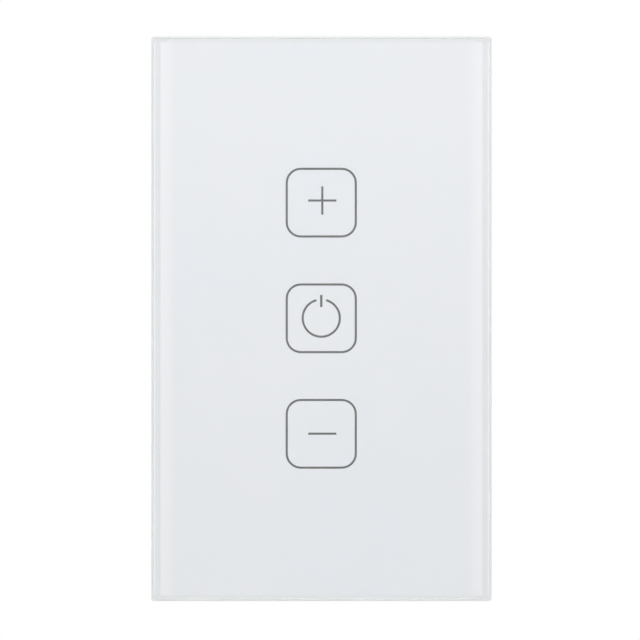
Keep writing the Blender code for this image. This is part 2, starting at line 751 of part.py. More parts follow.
def tray_outline(shrink):
    """The tray's cross-shaped outline, drawn in by a distance all round."""
    corners = cross_outline(TRAY_HALF_X - shrink, TRAY_HALF_Z - shrink, NOTCH_X - shrink, NOTCH_Z - shrink)
    return rounded(corners, TRAY_CORNER, 2)


def base_cover():
    """Moulded cover in front of the strap, with the sunk tray that holds the touch board."""
    width, height = 2 * BASE_HALF_X, 2 * BASE_HALF_Z
    rear = -BASE_WALL_GAP
    cover = linked(
        "base_cover",
        prism(rounded(rectangle(width, height), BASE_CORNER), BASE_FRONT, rear),
        housing_plastic(),
    )
    inside = rounded(rectangle(width - 2 * BASE_SKIRT, height - 2 * BASE_SKIRT), BASE_CORNER / 2)
    shape(cover, "DIFFERENCE", prism(inside, BASE_REAR, CUT_OVER), "underside")
    shape(cover, "UNION", prism(tray_outline(0), BASE_REAR - OVERLAP, TRAY_REAR), "tray")
    bore = POST_DIAMETER + 2 * POST_BULB + 2 * FIT
    sockets = [
        prism(circle(bore + 2 * SOCKET_WALL, place, 16), BASE_REAR - OVERLAP, -FIT)
        for place in four_corners(POST_X, POST_Z)
    ]
    shape(cover, "UNION", merged(*sockets), "sockets")
    before = BASE_FRONT - CUT_OVER
    shape(cover, "DIFFERENCE", prism(tray_outline(TRAY_WALL), before, TRAY_INSIDE), "tray_inside")

    bores = [prism(circle(bore, place, 16), before, CUT_OVER) for place in four_corners(POST_X, POST_Z)]
    window_size = (SLOT_WIDTH + 2 * WINDOW_MARGIN, SLOT_HEIGHT + 2 * WINDOW_MARGIN)
    windows = [
        prism(rounded(rectangle(*window_size, (0, z)), WINDOW_CORNER, 3), before, BASE_REAR + FIT / 2)
        for z in (-SLOT_SPACING / 2, SLOT_SPACING / 2)
    ]
    plug = rectangle(PIN_COUNT * PIN_PITCH + 2 * FIT, CONNECTOR_WIDTH + 2 * FIT, (0, CONNECTOR_Z))
    plug_hole = prism(plug, TRAY_INSIDE - CUT_OVER / 2, TRAY_REAR + CUT_OVER)
    shape(cover, "DIFFERENCE", merged(plug_hole, *bores, *windows), "holes")
    head_edge = SCREW_HEAD / 2 + FIT
    shank = SCREW_DIAMETER / 2 + FIT
    countersink = [
        (0, before),
        (head_edge, before),
        (head_edge, BASE_FRONT + FIT / 2),
        (shank, BASE_FRONT + SCREW_HEAD_CONE + FIT / 2),
        (shank, BASE_REAR + CUT_OVER),
        (0, BASE_REAR + CUT_OVER),
    ]
    screw_holes = [turned(countersink, 16, place) for place in four_corners(BOSS_X, BOSS_Z)]
    shape(cover, "DIFFERENCE", merged(*screw_holes), "screw_holes")

    inner_x = TRAY_HALF_X - TRAY_WALL
    ledge_front = BOARD_REAR + FIT
    ledges = [
        block(
            sorted((side * (inner_x - LEDGE_WIDTH), side * (inner_x + OVERLAP))),
            (ledge_front, TRAY_INSIDE + OVERLAP),
            (z - LEDGE_LENGTH / 2, z + LEDGE_LENGTH / 2),
        )
        for side in (-1, 1)
        for z in (-LEDGE_Z, 0.0, LEDGE_Z)
    ]
    shape(cover, "UNION", merged(*ledges), "board_ledges")
    stake_rear = TRAY_INSIDE + OVERLAP
    head_rear = BOARD_FRONT - FIT
    stake_profile = [
        (0, stake_rear),
        (STAKE_DIAMETER / 2, stake_rear),
        (STAKE_DIAMETER / 2, head_rear),
        (STAKE_HEAD / 2, head_rear),
        (STAKE_HEAD / 2 - STAKE_HEAD_HEIGHT / 2, head_rear - STAKE_HEAD_HEIGHT / 2),
        (STAKE_HEAD / 4, head_rear - STAKE_HEAD_HEIGHT),
        (0, head_rear - STAKE_HEAD_HEIGHT),
    ]
    stakes = [turned(stake_profile, 12, place) for place in STAKE_PLACES]
    shape(cover, "UNION", merged(*stakes), "board_stakes")
    feet = [
        prism(circle(STAKE_DIAMETER, place, 10), TRAY_REAR - OVERLAP, POWER_FRONT - FIT)
        for place in four_corners(NOTCH_X - FOOT_INSET, NOTCH_Z - FOOT_INSET)
    ]
    shape(cover, "UNION", merged(*feet), "power_board_feet")
    return cover


def strap_profile():
    """The joggled strip seen from the side, as (y, z) points of its rear and front faces."""
    half = STRAP_LENGTH / 2
    flat = PAN_HEIGHT / 2
    rear = [(-half, 0.0)]
    for sign in (-1, 1):
        for step in range(JOGGLE_STEPS + 1):
            share = step / JOGGLE_STEPS
            blend = (1 - math.cos(math.pi * share)) / 2
            if sign < 0:
                rear.append((-flat - JOGGLE_RUN * (1 - share), -STRAP_JOGGLE * blend))
            else:
                rear.append((flat + JOGGLE_RUN * share, -STRAP_JOGGLE * (1 - blend)))
    rear.append((half, 0.0))
    return [(y, z) for z, y in rear]


def joggled_strip():
    """The strip before its outline is cut, wide enough for the whole strap."""
    rear = strap_profile()
    front = [(y - STRAP_THICKNESS, z) for y, z in rear]
    return across(rear + front[::-1], PAN_WIDTH / 2 + CUT_OVER)


def strap_outline():
    """Pan, ears and the notch between the snap-off corners, at both ends."""
    half_pan, half_ear, half_notch = PAN_WIDTH / 2, EAR_WIDTH / 2, EAR_NOTCH_WIDTH / 2
    end, step = STRAP_LENGTH / 2, PAN_HEIGHT / 2 - STRAP_CORNER / 2
    inner_end = end - EAR_NOTCH_DEPTH
    ear = [(half_pan, step), (half_ear, step), (half_ear, end)]
    notch = [(half_notch, end), (half_notch, inner_end)]
    return rounded(mirrored(ear + notch), STRAP_EDGE_ROUND, 3)


def mounting_strap():
    """Pressed steel strap: a pan set forward for the housing and two ears that lie on the wall."""
    window = rectangle(2 * (TRAY_HALF_X + STRAP_WINDOW_GAP), 2 * (TRAY_HALF_Z + STRAP_WINDOW_GAP))
    holes = [rounded(window, STRAP_CORNER / 2, 3)]
    half_ear, half_notch = EAR_WIDTH / 2, EAR_NOTCH_WIDTH / 2
    score_z = STRAP_LENGTH / 2 - SCORE_OFFSET
    for sign in (-1, 1):
        holes.append(slot(SLOT_WIDTH, SLOT_HEIGHT, (0, sign * SLOT_SPACING / 2), steps=6))
        holes.append(circle(TAPPED_DIAMETER, (0, sign * TAPPED_SPACING / 2), 16))
        for side in (-1, 1):
            for share in (0.3, 0.7):
                x = side * (half_notch + share * (half_ear - half_notch))
                holes.append(slot(SCORE_LENGTH, SCORE_WIDTH, (x, sign * score_z), steps=2))
    plan = pierced(strap_outline(), holes, STRAP_FRONT - CUT_OVER, CUT_OVER)
    strap = linked("mounting_strap", joggled_strip(), galvanised_steel(), 40)
    shape(strap, "INTERSECT", plan, "plan")
    return strap


def housing_outline(inset, corner):
    return rounded(rectangle(HOUSING_WIDTH - 2 * inset, HOUSING_HEIGHT - 2 * inset), corner, 4)


def rear_housing():
    """Deep moulded box behind the wall, stepped down at its lower end for the terminals."""
    rear = HOUSING_DEPTH
    sections = [(HOUSING_FRONT, housing_outline(0, HOUSING_CORNER))]
    for share in (0, 0.5, 1):
        angle = share * math.pi / 2
        inset = HOUSING_DRAFT + REAR_ROUND * (1 - math.cos(angle))
        sections.append(
            (rear - REAR_ROUND * (1 - math.sin(angle)), housing_outline(inset, HOUSING_CORNER - inset / 2))
        )
    housing = linked("rear_housing", loft(sections), housing_plastic(), 40)
    bay_bottom = -HOUSING_HEIGHT / 2 - CUT_OVER
    full = HOUSING_WIDTH / 2 + CUT_OVER
    bay = block((-full, full), (BAY_FLOOR, rear + CUT_OVER), (bay_bottom, BAY_TOP))
    shape(housing, "DIFFERENCE", bay, "terminal_bay")
    inner_corner = HOUSING_CORNER - HOUSING_WALL
    deep_bottom = BAY_TOP + HOUSING_WALL
    inner_w, inner_h = INNER_HALF_X, INNER_HALF_Z
    deep_height = inner_h - deep_bottom
    shelf_front = BAY_FLOOR - HOUSING_WALL
    shallow = housing_outline(HOUSING_WALL, inner_corner)
    shape(housing, "DIFFERENCE", prism(shallow, HOUSING_FRONT - CUT_OVER, shelf_front), "front_cavity")
    deep = rectangle(2 * inner_w - HOUSING_DRAFT, deep_height, (0, deep_bottom + deep_height / 2))
    deep_cavity = prism(rounded(deep, inner_corner), shelf_front - CUT_OVER, HOUSING_INSIDE_REAR)
    shape(housing, "DIFFERENCE", deep_cavity, "rear_cavity")

    boss_front = BASE_REAR + FIT
    bosses = []
    webs = []
    for sx, sz in four_corners(1, 1):
        inside_rear = HOUSING_INSIDE_REAR if sz > 0 else shelf_front
        x, z = sx * BOSS_X, sz * BOSS_Z
        bosses.append(prism(circle(BOSS_DIAMETER, (x, z), 16), boss_front, inside_rear + OVERLAP))
        web_y = (POWER_REAR, inside_rear + OVERLAP)
        to_side = sorted((x, sx * (inner_w + OVERLAP)))
        to_end = sorted((z, sz * (inner_h + OVERLAP)))
        thin = SHELF_WIDTH / 2
        webs.append(block(to_side, web_y, (z - thin, z + thin)))
        webs.append(block((x - thin, x + thin), web_y, to_end))
    shape(housing, "UNION", merged(*bosses), "bosses")
    shape(housing, "UNION", merged(*webs[0::2]), "side_webs")
    shape(housing, "UNION", merged(*webs[1::2]), "end_webs")
    shelves = [
        block(
            sorted((side * (inner_w - SHELF_REACH), side * (inner_w + OVERLAP))),
            (POWER_REAR + FIT, HOUSING_INSIDE_REAR + OVERLAP),
            (z - SHELF_WIDTH / 2, z + SHELF_WIDTH / 2),
        )
        for side in (-1, 1)
        for z in (-SHELF_Z, SHELF_Z)
    ]
    shape(housing, "UNION", merged(*shelves), "board_shelves")

    pilot_rear = BASE_FRONT + SCREW_LENGTH + PILOT_SPARE
    pilots = [
        prism(circle(SCREW_DIAMETER + 2 * FIT, place, 12), boss_front - CUT_OVER, pilot_rear)
        for place in four_corners(BOSS_X, BOSS_Z)
    ]
    shape(housing, "DIFFERENCE", merged(*pilots), "screw_pilots")
    half = BLOCK_HALF + FIT
    window = block((-half, half), (POWER_REAR, HOUSING_DEPTH), (bay_bottom, BLOCK_TOP + FIT))
    shape(housing, "DIFFERENCE", window, "terminal_window")
    first = -(VENT_COUNT - 1) / 2
    row = (VENT_LENGTH + VENT_ROW_GAP) / 2
    rear_vents = [
        prism(
            slot(VENT_LENGTH, VENT_WIDTH, (side * row, VENT_MIDDLE + (first + i) * VENT_PITCH), steps=2),
            HOUSING_INSIDE_REAR - CUT_OVER,
            rear + CUT_OVER,
        )
        for side in (-1, 1)
        for i in range(VENT_COUNT)
    ]
    shape(housing, "DIFFERENCE", merged(*rear_vents), "rear_vents")
    side_middle = (PART_SEAT + HOUSING_INSIDE_REAR) / 2
    side_first = -(SIDE_VENT_COUNT - 1) / 2
    side_vents = [
        block(
            (-full, full),
            (side_middle - SIDE_VENT_LENGTH / 2, side_middle + SIDE_VENT_LENGTH / 2),
            (z - VENT_WIDTH / 2, z + VENT_WIDTH / 2),
        )
        for z in ((side_first + i) * VENT_PITCH for i in range(SIDE_VENT_COUNT))
    ]
    shape(housing, "DIFFERENCE", merged(*side_vents), "side_vents")
    return housing


def cross_recess():
    """The driver recess of a housing screw, a cross in plan."""
    half, thin = CROSS_LENGTH / 2, CROSS_WIDTH / 2
    return prism(cross_outline(half, half, thin, thin), -CUT_OVER / 2, CROSS_DEPTH)


def housing_screws():
    """Countersunk screws through the base cover into the housing's corner bosses."""
    radius = SCREW_DIAMETER / 2
    profile = [
        (0, 0),
        (SCREW_HEAD / 2, 0),
        (radius, SCREW_HEAD_CONE),
        (radius, SCREW_LENGTH - SCREW_DIAMETER),
        (radius / 3, SCREW_LENGTH),
        (0, SCREW_LENGTH),
    ]
    for number, (x, z) in enumerate(four_corners(BOSS_X, BOSS_Z), 1):
        place = (x, BASE_FRONT + FIT / 2, z)
        screw = linked(f"housing_screw_{number}", turned(profile, 12), zinc_screw(), 35, place)
        shape(screw, "DIFFERENCE", cross_recess(), "cross_recess").location = place


# Touch board and what it carries


def touch_board():
    outline = tray_outline(TRAY_WALL + FIT)
    holes = [circle(STAKE_DIAMETER + 2 * FIT, place, 12) for place in STAKE_PLACES]
    return linked("touch_board", pierced(outline, holes, BOARD_FRONT, BOARD_REAR), board_laminate())


def spring_points(foot, top):
    """A conical coil with a flat turn at each end."""
    rise = SPRING_TURNS - 2 * SPRING_FLAT
    points = []
    count = round(SPRING_TURNS * SPRING_STEPS)
    for i in range(count + 1):
        turn = SPRING_TURNS * i / count
        share = min(1.0, max(0.0, (turn - SPRING_FLAT) / rise))
        radius = (SPRING_FOOT + (SPRING_TOP - SPRING_FOOT) * turn / SPRING_TURNS) / 2
        angle = 2 * math.pi * turn
        points.append((radius * math.cos(angle), foot + (top - foot) * share, radius * math.sin(angle)))
    return points


def touch_spring(name, z):
    """Spring that carries a finger's touch from the glass to the board."""
    foot = BOARD_FRONT - FIT - SPRING_WIRE / 2
    top = FILM_BACK + FIT + SPRING_WIRE / 2
    curve = bpy.data.curves.new(name, "CURVE")
    curve.dimensions = "3D"
    curve.bevel_depth = SPRING_WIRE / 2
    curve.bevel_resolution = 1
    curve.use_fill_caps = True
    curve.materials.append(spring_steel())
    points = spring_points(foot, top)
    line = curve.splines.new("POLY")
    line.points.add(len(points) - 1)
    for point, place in zip(line.points, points):
        point.co = (*place, 1.0)
    made = bpy.data.objects.new(name, curve)
    made.location = (0, 0, z)
    bpy.context.scene.collection.objects.link(made)
    return made


def soft_block(width, length, height, centre, seat=PART_SEAT, corner=PART_ROUND):
    """A moulded body that stands from its seat along +Y, with round corners and an eased top."""
    base = rounded(rectangle(width, length, centre), corner, 2)
    top = rounded(rectangle(width - 2 * PART_EASE, length - 2 * PART_EASE, centre), corner, 2)
    return loft([(seat, base), (seat + height - PART_EASE, base), (seat + height, top)])


def indicator_led(name, z):
    rear = BOARD_FRONT - FIT
    base = rectangle(LED_WIDTH, LED_DEPTH)
    top = rectangle(LED_WIDTH - 2 * LED_SLOPE, LED_DEPTH - 2 * LED_SLOPE)
    bm = loft([(rear - LED_HEIGHT, top), (rear - LED_HEIGHT / 2, base), (rear, base)])
    return linked(name, bm, material("led_lens", "F3F1E6", 0.25), at=(0, 0, z))


def touch_parts():
    for key, z in zip(KEY_NAMES, KEY_HEIGHTS):
        touch_spring(f"touch_spring_{key}", z)
        indicator_led(f"indicator_led_{key}", z)
    chip = soft_block(CHIP_LENGTH, CHIP_WIDTH, CHIP_HEIGHT, (0, CHIP_Z), BOARD_PARTS, PART_EASE)
    linked("touch_chip", chip, black_resin())
    module = rectangle(RADIO_WIDTH, RADIO_LENGTH, (0, RADIO_Z))
    linked("radio_module", prism(module, BOARD_PARTS, BOARD_PARTS + RADIO_BOARD), board_laminate())
    can_z = RADIO_Z - (RADIO_LENGTH - CAN_LENGTH) / 4
    can = soft_block(CAN_WIDTH, CAN_LENGTH, CAN_HEIGHT, (0, can_z), CAN_SEAT)
    linked("radio_shield", can, material("tinplate", "C2C4C6", 0.35, 1.0))


def pin_places():
    first = -(PIN_COUNT - 1) / 2
    return [((first + i) * PIN_PITCH, CONNECTOR_Z) for i in range(PIN_COUNT)]


def board_connector():
    """Pin header behind the touch board, plugged into a socket that stands on the power board."""
    outline = rectangle(PIN_COUNT * PIN_PITCH, CONNECTOR_WIDTH, (0, CONNECTOR_Z))
    body_rear = BOARD_PARTS + CONNECTOR_BODY
    socket_rear = POWER_FRONT - FIT
    header = linked("board_header", prism(outline, BOARD_PARTS, body_rear), black_resin())
    pin_end = socket_rear - PIN_END_GAP
    pin_front = body_rear - OVERLAP
    pins = [prism(rectangle(PIN_SIZE, PIN_SIZE, place), pin_front, pin_end) for place in pin_places()]
    shape(header, "UNION", merged(*pins), "pins")
    holes = [rectangle(PIN_HOLE, PIN_HOLE, place) for place in pin_places()]
    linked("board_socket", pierced(outline, holes, body_rear + FIT, socket_rear), black_resin())


# Power board and what it carries


def pole_centres():
    first = -(POLE_COUNT - 1) / 2
    return [(first + i) * POLE_PITCH for i in range(POLE_COUNT)]


def power_board():
    outline = cross_outline(INNER_HALF_X - BOARD_EDGE_GAP, INNER_HALF_Z - BOARD_EDGE_GAP, NOTCH_X, NOTCH_Z)
    pin_hole = (BAR_WIDTH + 2 * FIT, BAR_THICKNESS + 2 * FIT)
    holes = [rectangle(*pin_hole, (x, LEG_Z - BAR_THICKNESS / 2)) for x in pole_centres()]
    return linked("power_board", pierced(outline, holes, POWER_FRONT, POWER_REAR), board_laminate())


def terminal_block():
    """Moulded block with a cavity for each clamp, a wire mouth below and a screw seat behind."""
    centre = (0, (BLOCK_BOTTOM + BLOCK_TOP) / 2)
    height = BLOCK_TOP - BLOCK_BOTTOM
    full = rectangle(2 * BLOCK_HALF, height, centre)
    eased = rectangle(2 * (BLOCK_HALF - BLOCK_REAR_EDGE), height - 2 * BLOCK_REAR_EDGE, centre)
    sections = [(PART_SEAT, full), (BLOCK_REAR - BLOCK_REAR_EDGE, full), (BLOCK_REAR, eased)]
    moulding = linked("terminal_block", loft(sections), terminal_plastic())
    before = PART_SEAT - CUT_OVER
    side = CAGE_HALF + FIT
    mouth = WIRE_MOUTH / 2
    gap_middle = (GAP_FRONT + BAR_FRONT) / 2
    leg = BAR_WIDTH / 2 + FIT
    cavities, mouths, channels, seats, recesses = [], [], [], [], []
    for x in pole_centres():
        cavity_z = (CAGE_BOTTOM - FIT, CAGE_TOP + FIT)
        cavities.append(block((x - side, x + side), (before, SEAT_FRONT), cavity_z))
        mouth_y = (gap_middle - mouth, gap_middle + mouth)
        mouths.append(block((x - mouth, x + mouth), mouth_y, (BLOCK_BOTTOM - CUT_OVER, CAGE_BOTTOM)))
        channels.append(block((x - leg, x + leg), (before, BAR_REAR + FIT), (CAGE_TOP, LEG_Z + FIT)))
        bore = circle(THREAD_DIAMETER + 2 * FIT, (x, CLAMP_Z), 16)
        seats.append(prism(bore, SEAT_FRONT - CUT_OVER, BLOCK_REAR))
        recess = circle(HEAD_DIAMETER + 2 * FIT, (x, CLAMP_Z), 20)
        recesses.append(prism(recess, SEAT_REAR, BLOCK_REAR + CUT_OVER))
    shape(moulding, "DIFFERENCE", merged(*cavities), "cage_cavities")
    shape(moulding, "DIFFERENCE", merged(*mouths), "wire_mouths")
    shape(moulding, "DIFFERENCE", merged(*channels), "bar_channels")
    shape(moulding, "DIFFERENCE", merged(*seats), "screw_seats")
    shape(moulding, "DIFFERENCE", merged(*recesses), "head_recesses")
    return moulding


def current_bar(number, x):
    """Bent bar: the wire is squeezed against its flat end, and its leg goes through the power board."""
    start = CAGE_BOTTOM + BAR_TIP_GAP
    leg_front = POWER_FRONT - BAR_PIN
    side = [
        (BAR_FRONT, start),
        (BAR_REAR, start),
        (BAR_REAR, LEG_Z),
        (leg_front, LEG_Z),
        (leg_front, LEG_Z - BAR_THICKNESS),
        (BAR_FRONT, LEG_Z - BAR_THICKNESS),
    ]
    linked(f"current_bar_{number}", across(side, BAR_WIDTH / 2), brass(), at=(x, 0, 0))


def terminal_cage(number, x):
    """Rising clamp: a bent steel loop whose threaded side climbs the screw."""
    origin = (x, NUT_FRONT, CLAMP_Z)
    half, inner = CAGE_HALF, CAGE_INSIDE / 2
    front, rear = CAGE_FRONT - NUT_FRONT, CAGE_REAR - NUT_FRONT
    ring = [(-half, front), (half, front), (half, rear), (-half, rear)]
    opening = [(-inner, front + CAGE_WALL), (inner, front + CAGE_WALL), (inner, 0.0), (-inner, 0.0)]
    half_length = CAGE_LENGTH / 2
    loop = swept(ring, -half_length, half_length, lambda a, y, z: (a, y, z))
    cage = linked(f"terminal_cage_{number}", loop, zinc_screw(), at=origin)
    through = half_length + CUT_OVER
    room = swept(opening, -through, through, lambda a, y, z: (a, y, z))
    hole = prism(circle(THREAD_DIAMETER + 2 * THREAD_FIT), -CUT_OVER / 2, CAGE_NUT + CUT_OVER)
    for label, cutter in (("wire_room", room), ("thread", hole)):
        shape(cage, "DIFFERENCE", cutter, label).location = origin


def terminal_screw(number, x):
    """Captive slotted screw, whose head turns against the block's seat."""
    origin = (x, HEAD_FRONT, CLAMP_Z)
    radius = THREAD_DIAMETER / 2
    tip = BAR_REAR + FIT - HEAD_FRONT
    profile = [
        (0, tip),
        (radius - SCREW_EDGE, tip),
        (radius, tip + SCREW_EDGE),
        (radius, 0.0),
        (HEAD_DIAMETER / 2, 0.0),
        (HEAD_DIAMETER / 2, HEAD_HEIGHT - SCREW_EDGE),
        (HEAD_DIAMETER / 2 - SCREW_EDGE, HEAD_HEIGHT),
        (0, HEAD_HEIGHT),
    ]
    screw = linked(f"terminal_screw_{number}", turned(profile, 16), zinc_screw(), 35, origin)
    half_slot = DRIVER_SLOT / 2
    slot_y = (HEAD_HEIGHT - DRIVER_SLOT_DEPTH, HEAD_HEIGHT + CUT_OVER)
    groove = block((-HEAD_DIAMETER, HEAD_DIAMETER), slot_y, (-half_slot, half_slot))
    shape(screw, "DIFFERENCE", groove, "driver_slot").location = origin


def heat_sink():
    """Folded aluminium channel that stands on the board behind the two transistors."""
    half, rear = SINK_WIDTH / 2, SINK_Z + SINK_SHEET
    outline = [
        (half, rear),
        (-half, rear),
        (-half, rear - SINK_WING),
        (-half + SINK_SHEET, rear - SINK_WING),
        (-half + SINK_SHEET, SINK_Z),
        (half - SINK_SHEET, SINK_Z),
        (half - SINK_SHEET, rear - SINK_WING),
        (half, rear - SINK_WING),
    ]
    sink = linked("heat_sink", prism(outline, PART_SEAT, PART_SEAT + SINK_HEIGHT), aluminium())
    holes = [
        upright_cylinder(x, TAB_HOLE_Y, CLIP_SCREW_DIAMETER + 2 * FIT, SINK_Z - CUT_OVER, rear + CUT_OVER)
        for x in (-TRANSISTOR_X, TRANSISTOR_X)
    ]
    shape(sink, "DIFFERENCE", merged(*holes), "screw_holes")
    return sink


def power_transistor(number, x):
    """Transistor package with its cooling tab flat on the heat sink and three legs in the board."""
    half = TRANSISTOR_WIDTH / 2
    back = SINK_Z - FIT
    body_front = PART_SEAT + LEG_LENGTH
    body_y = (body_front, body_front + TRANSISTOR_BODY)
    body = block((x - half, x + half), body_y, (back - TRANSISTOR_THICKNESS, back))
    made = linked(f"power_transistor_{number}", body, black_resin())
    tab_y = (body_front + OVERLAP, TAB_HOLE_Y + TAB_BEYOND_HOLE)
    tab = block((x - half, x + half), tab_y, (back - TAB_THICKNESS, back))
    shape(made, "UNION", tab, "tab")
    leg_middle = back - TRANSISTOR_THICKNESS / 2
    legs = [
        block(
            (x + i * LEG_PITCH - LEG_WIDTH / 2, x + i * LEG_PITCH + LEG_WIDTH / 2),
            (PART_SEAT, body_front + OVERLAP),
            (leg_middle - LEG_WIDTH / 2, leg_middle + LEG_WIDTH / 2),
        )
        for i in (-1, 0, 1)
    ]
    shape(made, "UNION", merged(*legs), "legs")
    hole = upright_cylinder(x, TAB_HOLE_Y, TAB_HOLE, back - TAB_THICKNESS - CUT_OVER, back + CUT_OVER)
    shape(made, "DIFFERENCE", hole, "tab_hole")


def transistor_screw(number, x):
    """Screw that clamps a transistor's tab to the heat sink."""
    head_top = SINK_Z - FIT - TAB_THICKNESS - FIT
    end = SINK_Z + SINK_SHEET + CLIP_SCREW_END
    shank = upright_cylinder(x, TAB_HOLE_Y, CLIP_SCREW_DIAMETER, head_top - OVERLAP, end, 12)
    screw = linked(f"transistor_screw_{number}", shank, zinc_screw(), 35)
    head = upright_cylinder(x, TAB_HOLE_Y, CLIP_SCREW_HEAD, head_top - CLIP_HEAD_HEIGHT, head_top, 16)
    shape(screw, "UNION", head, "head")


def electrolytic_capacitor():
    """Aluminium can with a rolled groove above its rubber end."""
    radius, seat = ELECTROLYTIC_DIAMETER / 2, PART_SEAT
    profile = [
        (0, seat),
        (radius, seat),
        (radius, seat + CAN_GROOVE),
        (radius - CAN_GROOVE_DEPTH, seat + 1.5 * CAN_GROOVE),
        (radius, seat + 2 * CAN_GROOVE),
        (radius, seat + ELECTROLYTIC_HEIGHT - PART_ROUND),
        (radius - PART_ROUND, seat + ELECTROLYTIC_HEIGHT),
        (0, seat + ELECTROLYTIC_HEIGHT),
    ]
    return linked(
        "electrolytic_capacitor",
        turned(profile, 20, ELECTROLYTIC_AT),
        material("capacitor_sleeve", "23262E", 0.35),
        35,
    )


def choke():
    """Drum core with its copper winding lying in the waist."""
    radius, waist, seat = CHOKE_DIAMETER / 2, CHOKE_WAIST / 2, PART_SEAT
    low, high = seat + CHOKE_FLANGE, seat + CHOKE_HEIGHT - CHOKE_FLANGE
    profile = [(0, seat), (radius, seat), (radius, low), (waist, low), (waist, high), (radius, high)]
    profile += [(radius, seat + CHOKE_HEIGHT), (0, seat + CHOKE_HEIGHT)]
    linked("choke_core", turned(profile, 20, CHOKE_AT), ferrite(), 35)
    outer = circle(CHOKE_DIAMETER - 2 * CHOKE_WIRE_INSET, CHOKE_AT, 20)
    inner = circle(CHOKE_WAIST + 2 * FIT, CHOKE_AT, 20)
    copper = material("enamelled_copper", "B5652C", 0.3, 1.0)
    linked("choke_winding", pierced(outer, [inner], low + FIT, high - FIT), copper, 35)


def transformer():
    """Small supply transformer: a ferrite frame round a taped winding on the middle leg."""
    x, z = TRANSFORMER_AT
    half, leg, yoke = TRANSFORMER_WIDTH / 2, TRANSFORMER_LEG, TRANSFORMER_YOKE
    front, rear = PART_SEAT, PART_SEAT + TRANSFORMER_HEIGHT
    low, high = z - TRANSFORMER_CORE / 2, z + TRANSFORMER_CORE / 2
    frame = block((x - half, x + half), (front, rear), (low, high))
    core = linked("transformer_core", frame, ferrite())
    openings = [
        block(
            sorted((x + side * (half - yoke), x + side * leg / 2)),
            (front + yoke, rear - yoke),
            (low - CUT_OVER, high + CUT_OVER),
        )
        for side in (-1, 1)
    ]
    shape(core, "DIFFERENCE", merged(*openings), "core_windows")
    outer = rectangle(2 * (half - yoke - FIT), TRANSFORMER_LENGTH, (x, z))
    hole = rectangle(leg + 2 * FIT, TRANSFORMER_CORE + 2 * FIT, (x, z))
    coil = pierced(rounded(outer, COIL_CORNER, 3), [hole], front + yoke + FIT, rear - yoke - FIT)
    linked("transformer_winding", coil, material("polyester_tape", "D9B23C", 0.4))


def board_parts():
    """The plain packages on the power board."""
    box = soft_block(FILM_CAPACITOR_WIDTH, FILM_CAPACITOR_LENGTH, FILM_CAPACITOR_HEIGHT, FILM_CAPACITOR_AT)
    linked("film_capacitor", box, material("capacitor_box", "D8B640", 0.45))
    package = soft_block(BRIDGE_WIDTH, BRIDGE_LENGTH, BRIDGE_HEIGHT, BRIDGE_AT)
    linked("bridge_rectifier", package, black_resin())
    radius, top = FUSE_DIAMETER / 2, PART_SEAT + FUSE_HEIGHT
    fuse_profile = [
        (0, PART_SEAT),
        (radius, PART_SEAT),
        (radius, top - PART_ROUND),
        (radius - PART_ROUND, top),
        (0, top),
    ]
    linked("fuse", turned(fuse_profile, 20, FUSE_AT), material("fuse_body", "7A3B22", 0.45), 35)
    x, z = VARISTOR_AT
    disc_y = PART_SEAT + VARISTOR_DIAMETER / 2
    thin = VARISTOR_THICKNESS / 2
    disc = upright_cylinder(x, disc_y, VARISTOR_DIAMETER, z - thin, z + thin, 20)
    linked("varistor", disc, material("varistor_coating", "2A5DA8", 0.4), 35)


clear_scene()
PANEL = empty("front_panel_slide", (0, GLASS_FRONT, 0))
for piece in (glass_panel(), printed_film(), panel_carrier()):
    carried_by(PANEL, piece)
base_cover()
mounting_strap()
rear_housing()
housing_screws()
touch_board()
touch_parts()
board_connector()
power_board()
terminal_block()
for index, pole_x in enumerate(pole_centres(), 1):
    current_bar(index, pole_x)
    terminal_cage(index, pole_x)
    terminal_screw(index, pole_x)
heat_sink()
for index, sink_x in enumerate((-TRANSISTOR_X, TRANSISTOR_X), 1):
    power_transistor(index, sink_x)
    transistor_screw(index, sink_x)
electrolytic_capacitor()
choke()
transformer()
board_parts()
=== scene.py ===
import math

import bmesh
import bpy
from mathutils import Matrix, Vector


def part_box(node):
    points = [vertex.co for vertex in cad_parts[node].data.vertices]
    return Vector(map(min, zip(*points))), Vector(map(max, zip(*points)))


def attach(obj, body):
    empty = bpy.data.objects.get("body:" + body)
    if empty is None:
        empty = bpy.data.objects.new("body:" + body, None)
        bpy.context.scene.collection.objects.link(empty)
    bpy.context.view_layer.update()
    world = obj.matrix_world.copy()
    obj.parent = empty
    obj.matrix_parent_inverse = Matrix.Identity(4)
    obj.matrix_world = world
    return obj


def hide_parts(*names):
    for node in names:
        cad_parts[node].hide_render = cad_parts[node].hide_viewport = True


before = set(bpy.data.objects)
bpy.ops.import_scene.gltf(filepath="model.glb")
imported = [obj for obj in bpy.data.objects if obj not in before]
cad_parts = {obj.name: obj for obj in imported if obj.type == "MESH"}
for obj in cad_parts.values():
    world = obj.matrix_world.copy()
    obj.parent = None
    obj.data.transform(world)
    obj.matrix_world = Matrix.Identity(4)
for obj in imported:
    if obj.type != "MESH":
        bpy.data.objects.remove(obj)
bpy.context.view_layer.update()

# %% [markdown]
# # A glass touch dimmer, dressed for its photograph
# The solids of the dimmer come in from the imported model: a sheet of toughened glass on a moulded carrier, a
# steel strap, and a deep housing full of electronics that goes into the wall. This lesson gives them their
# looks. It adds what is too fine for the solids, such as printed signs, screw threads and solder, and it
# never moves or reshapes a solid.

MM = 0.001

# %% [markdown]
# ## Colours and nodes
# Paint charts and photographs give colours in sRGB, but light adds up in linear values, so every hex colour
# passes through one function. A second small function adds a shader node, sets it and wires it. Writing
# node trees as code makes them easy to read from top to bottom, and every length in them can be a real one.

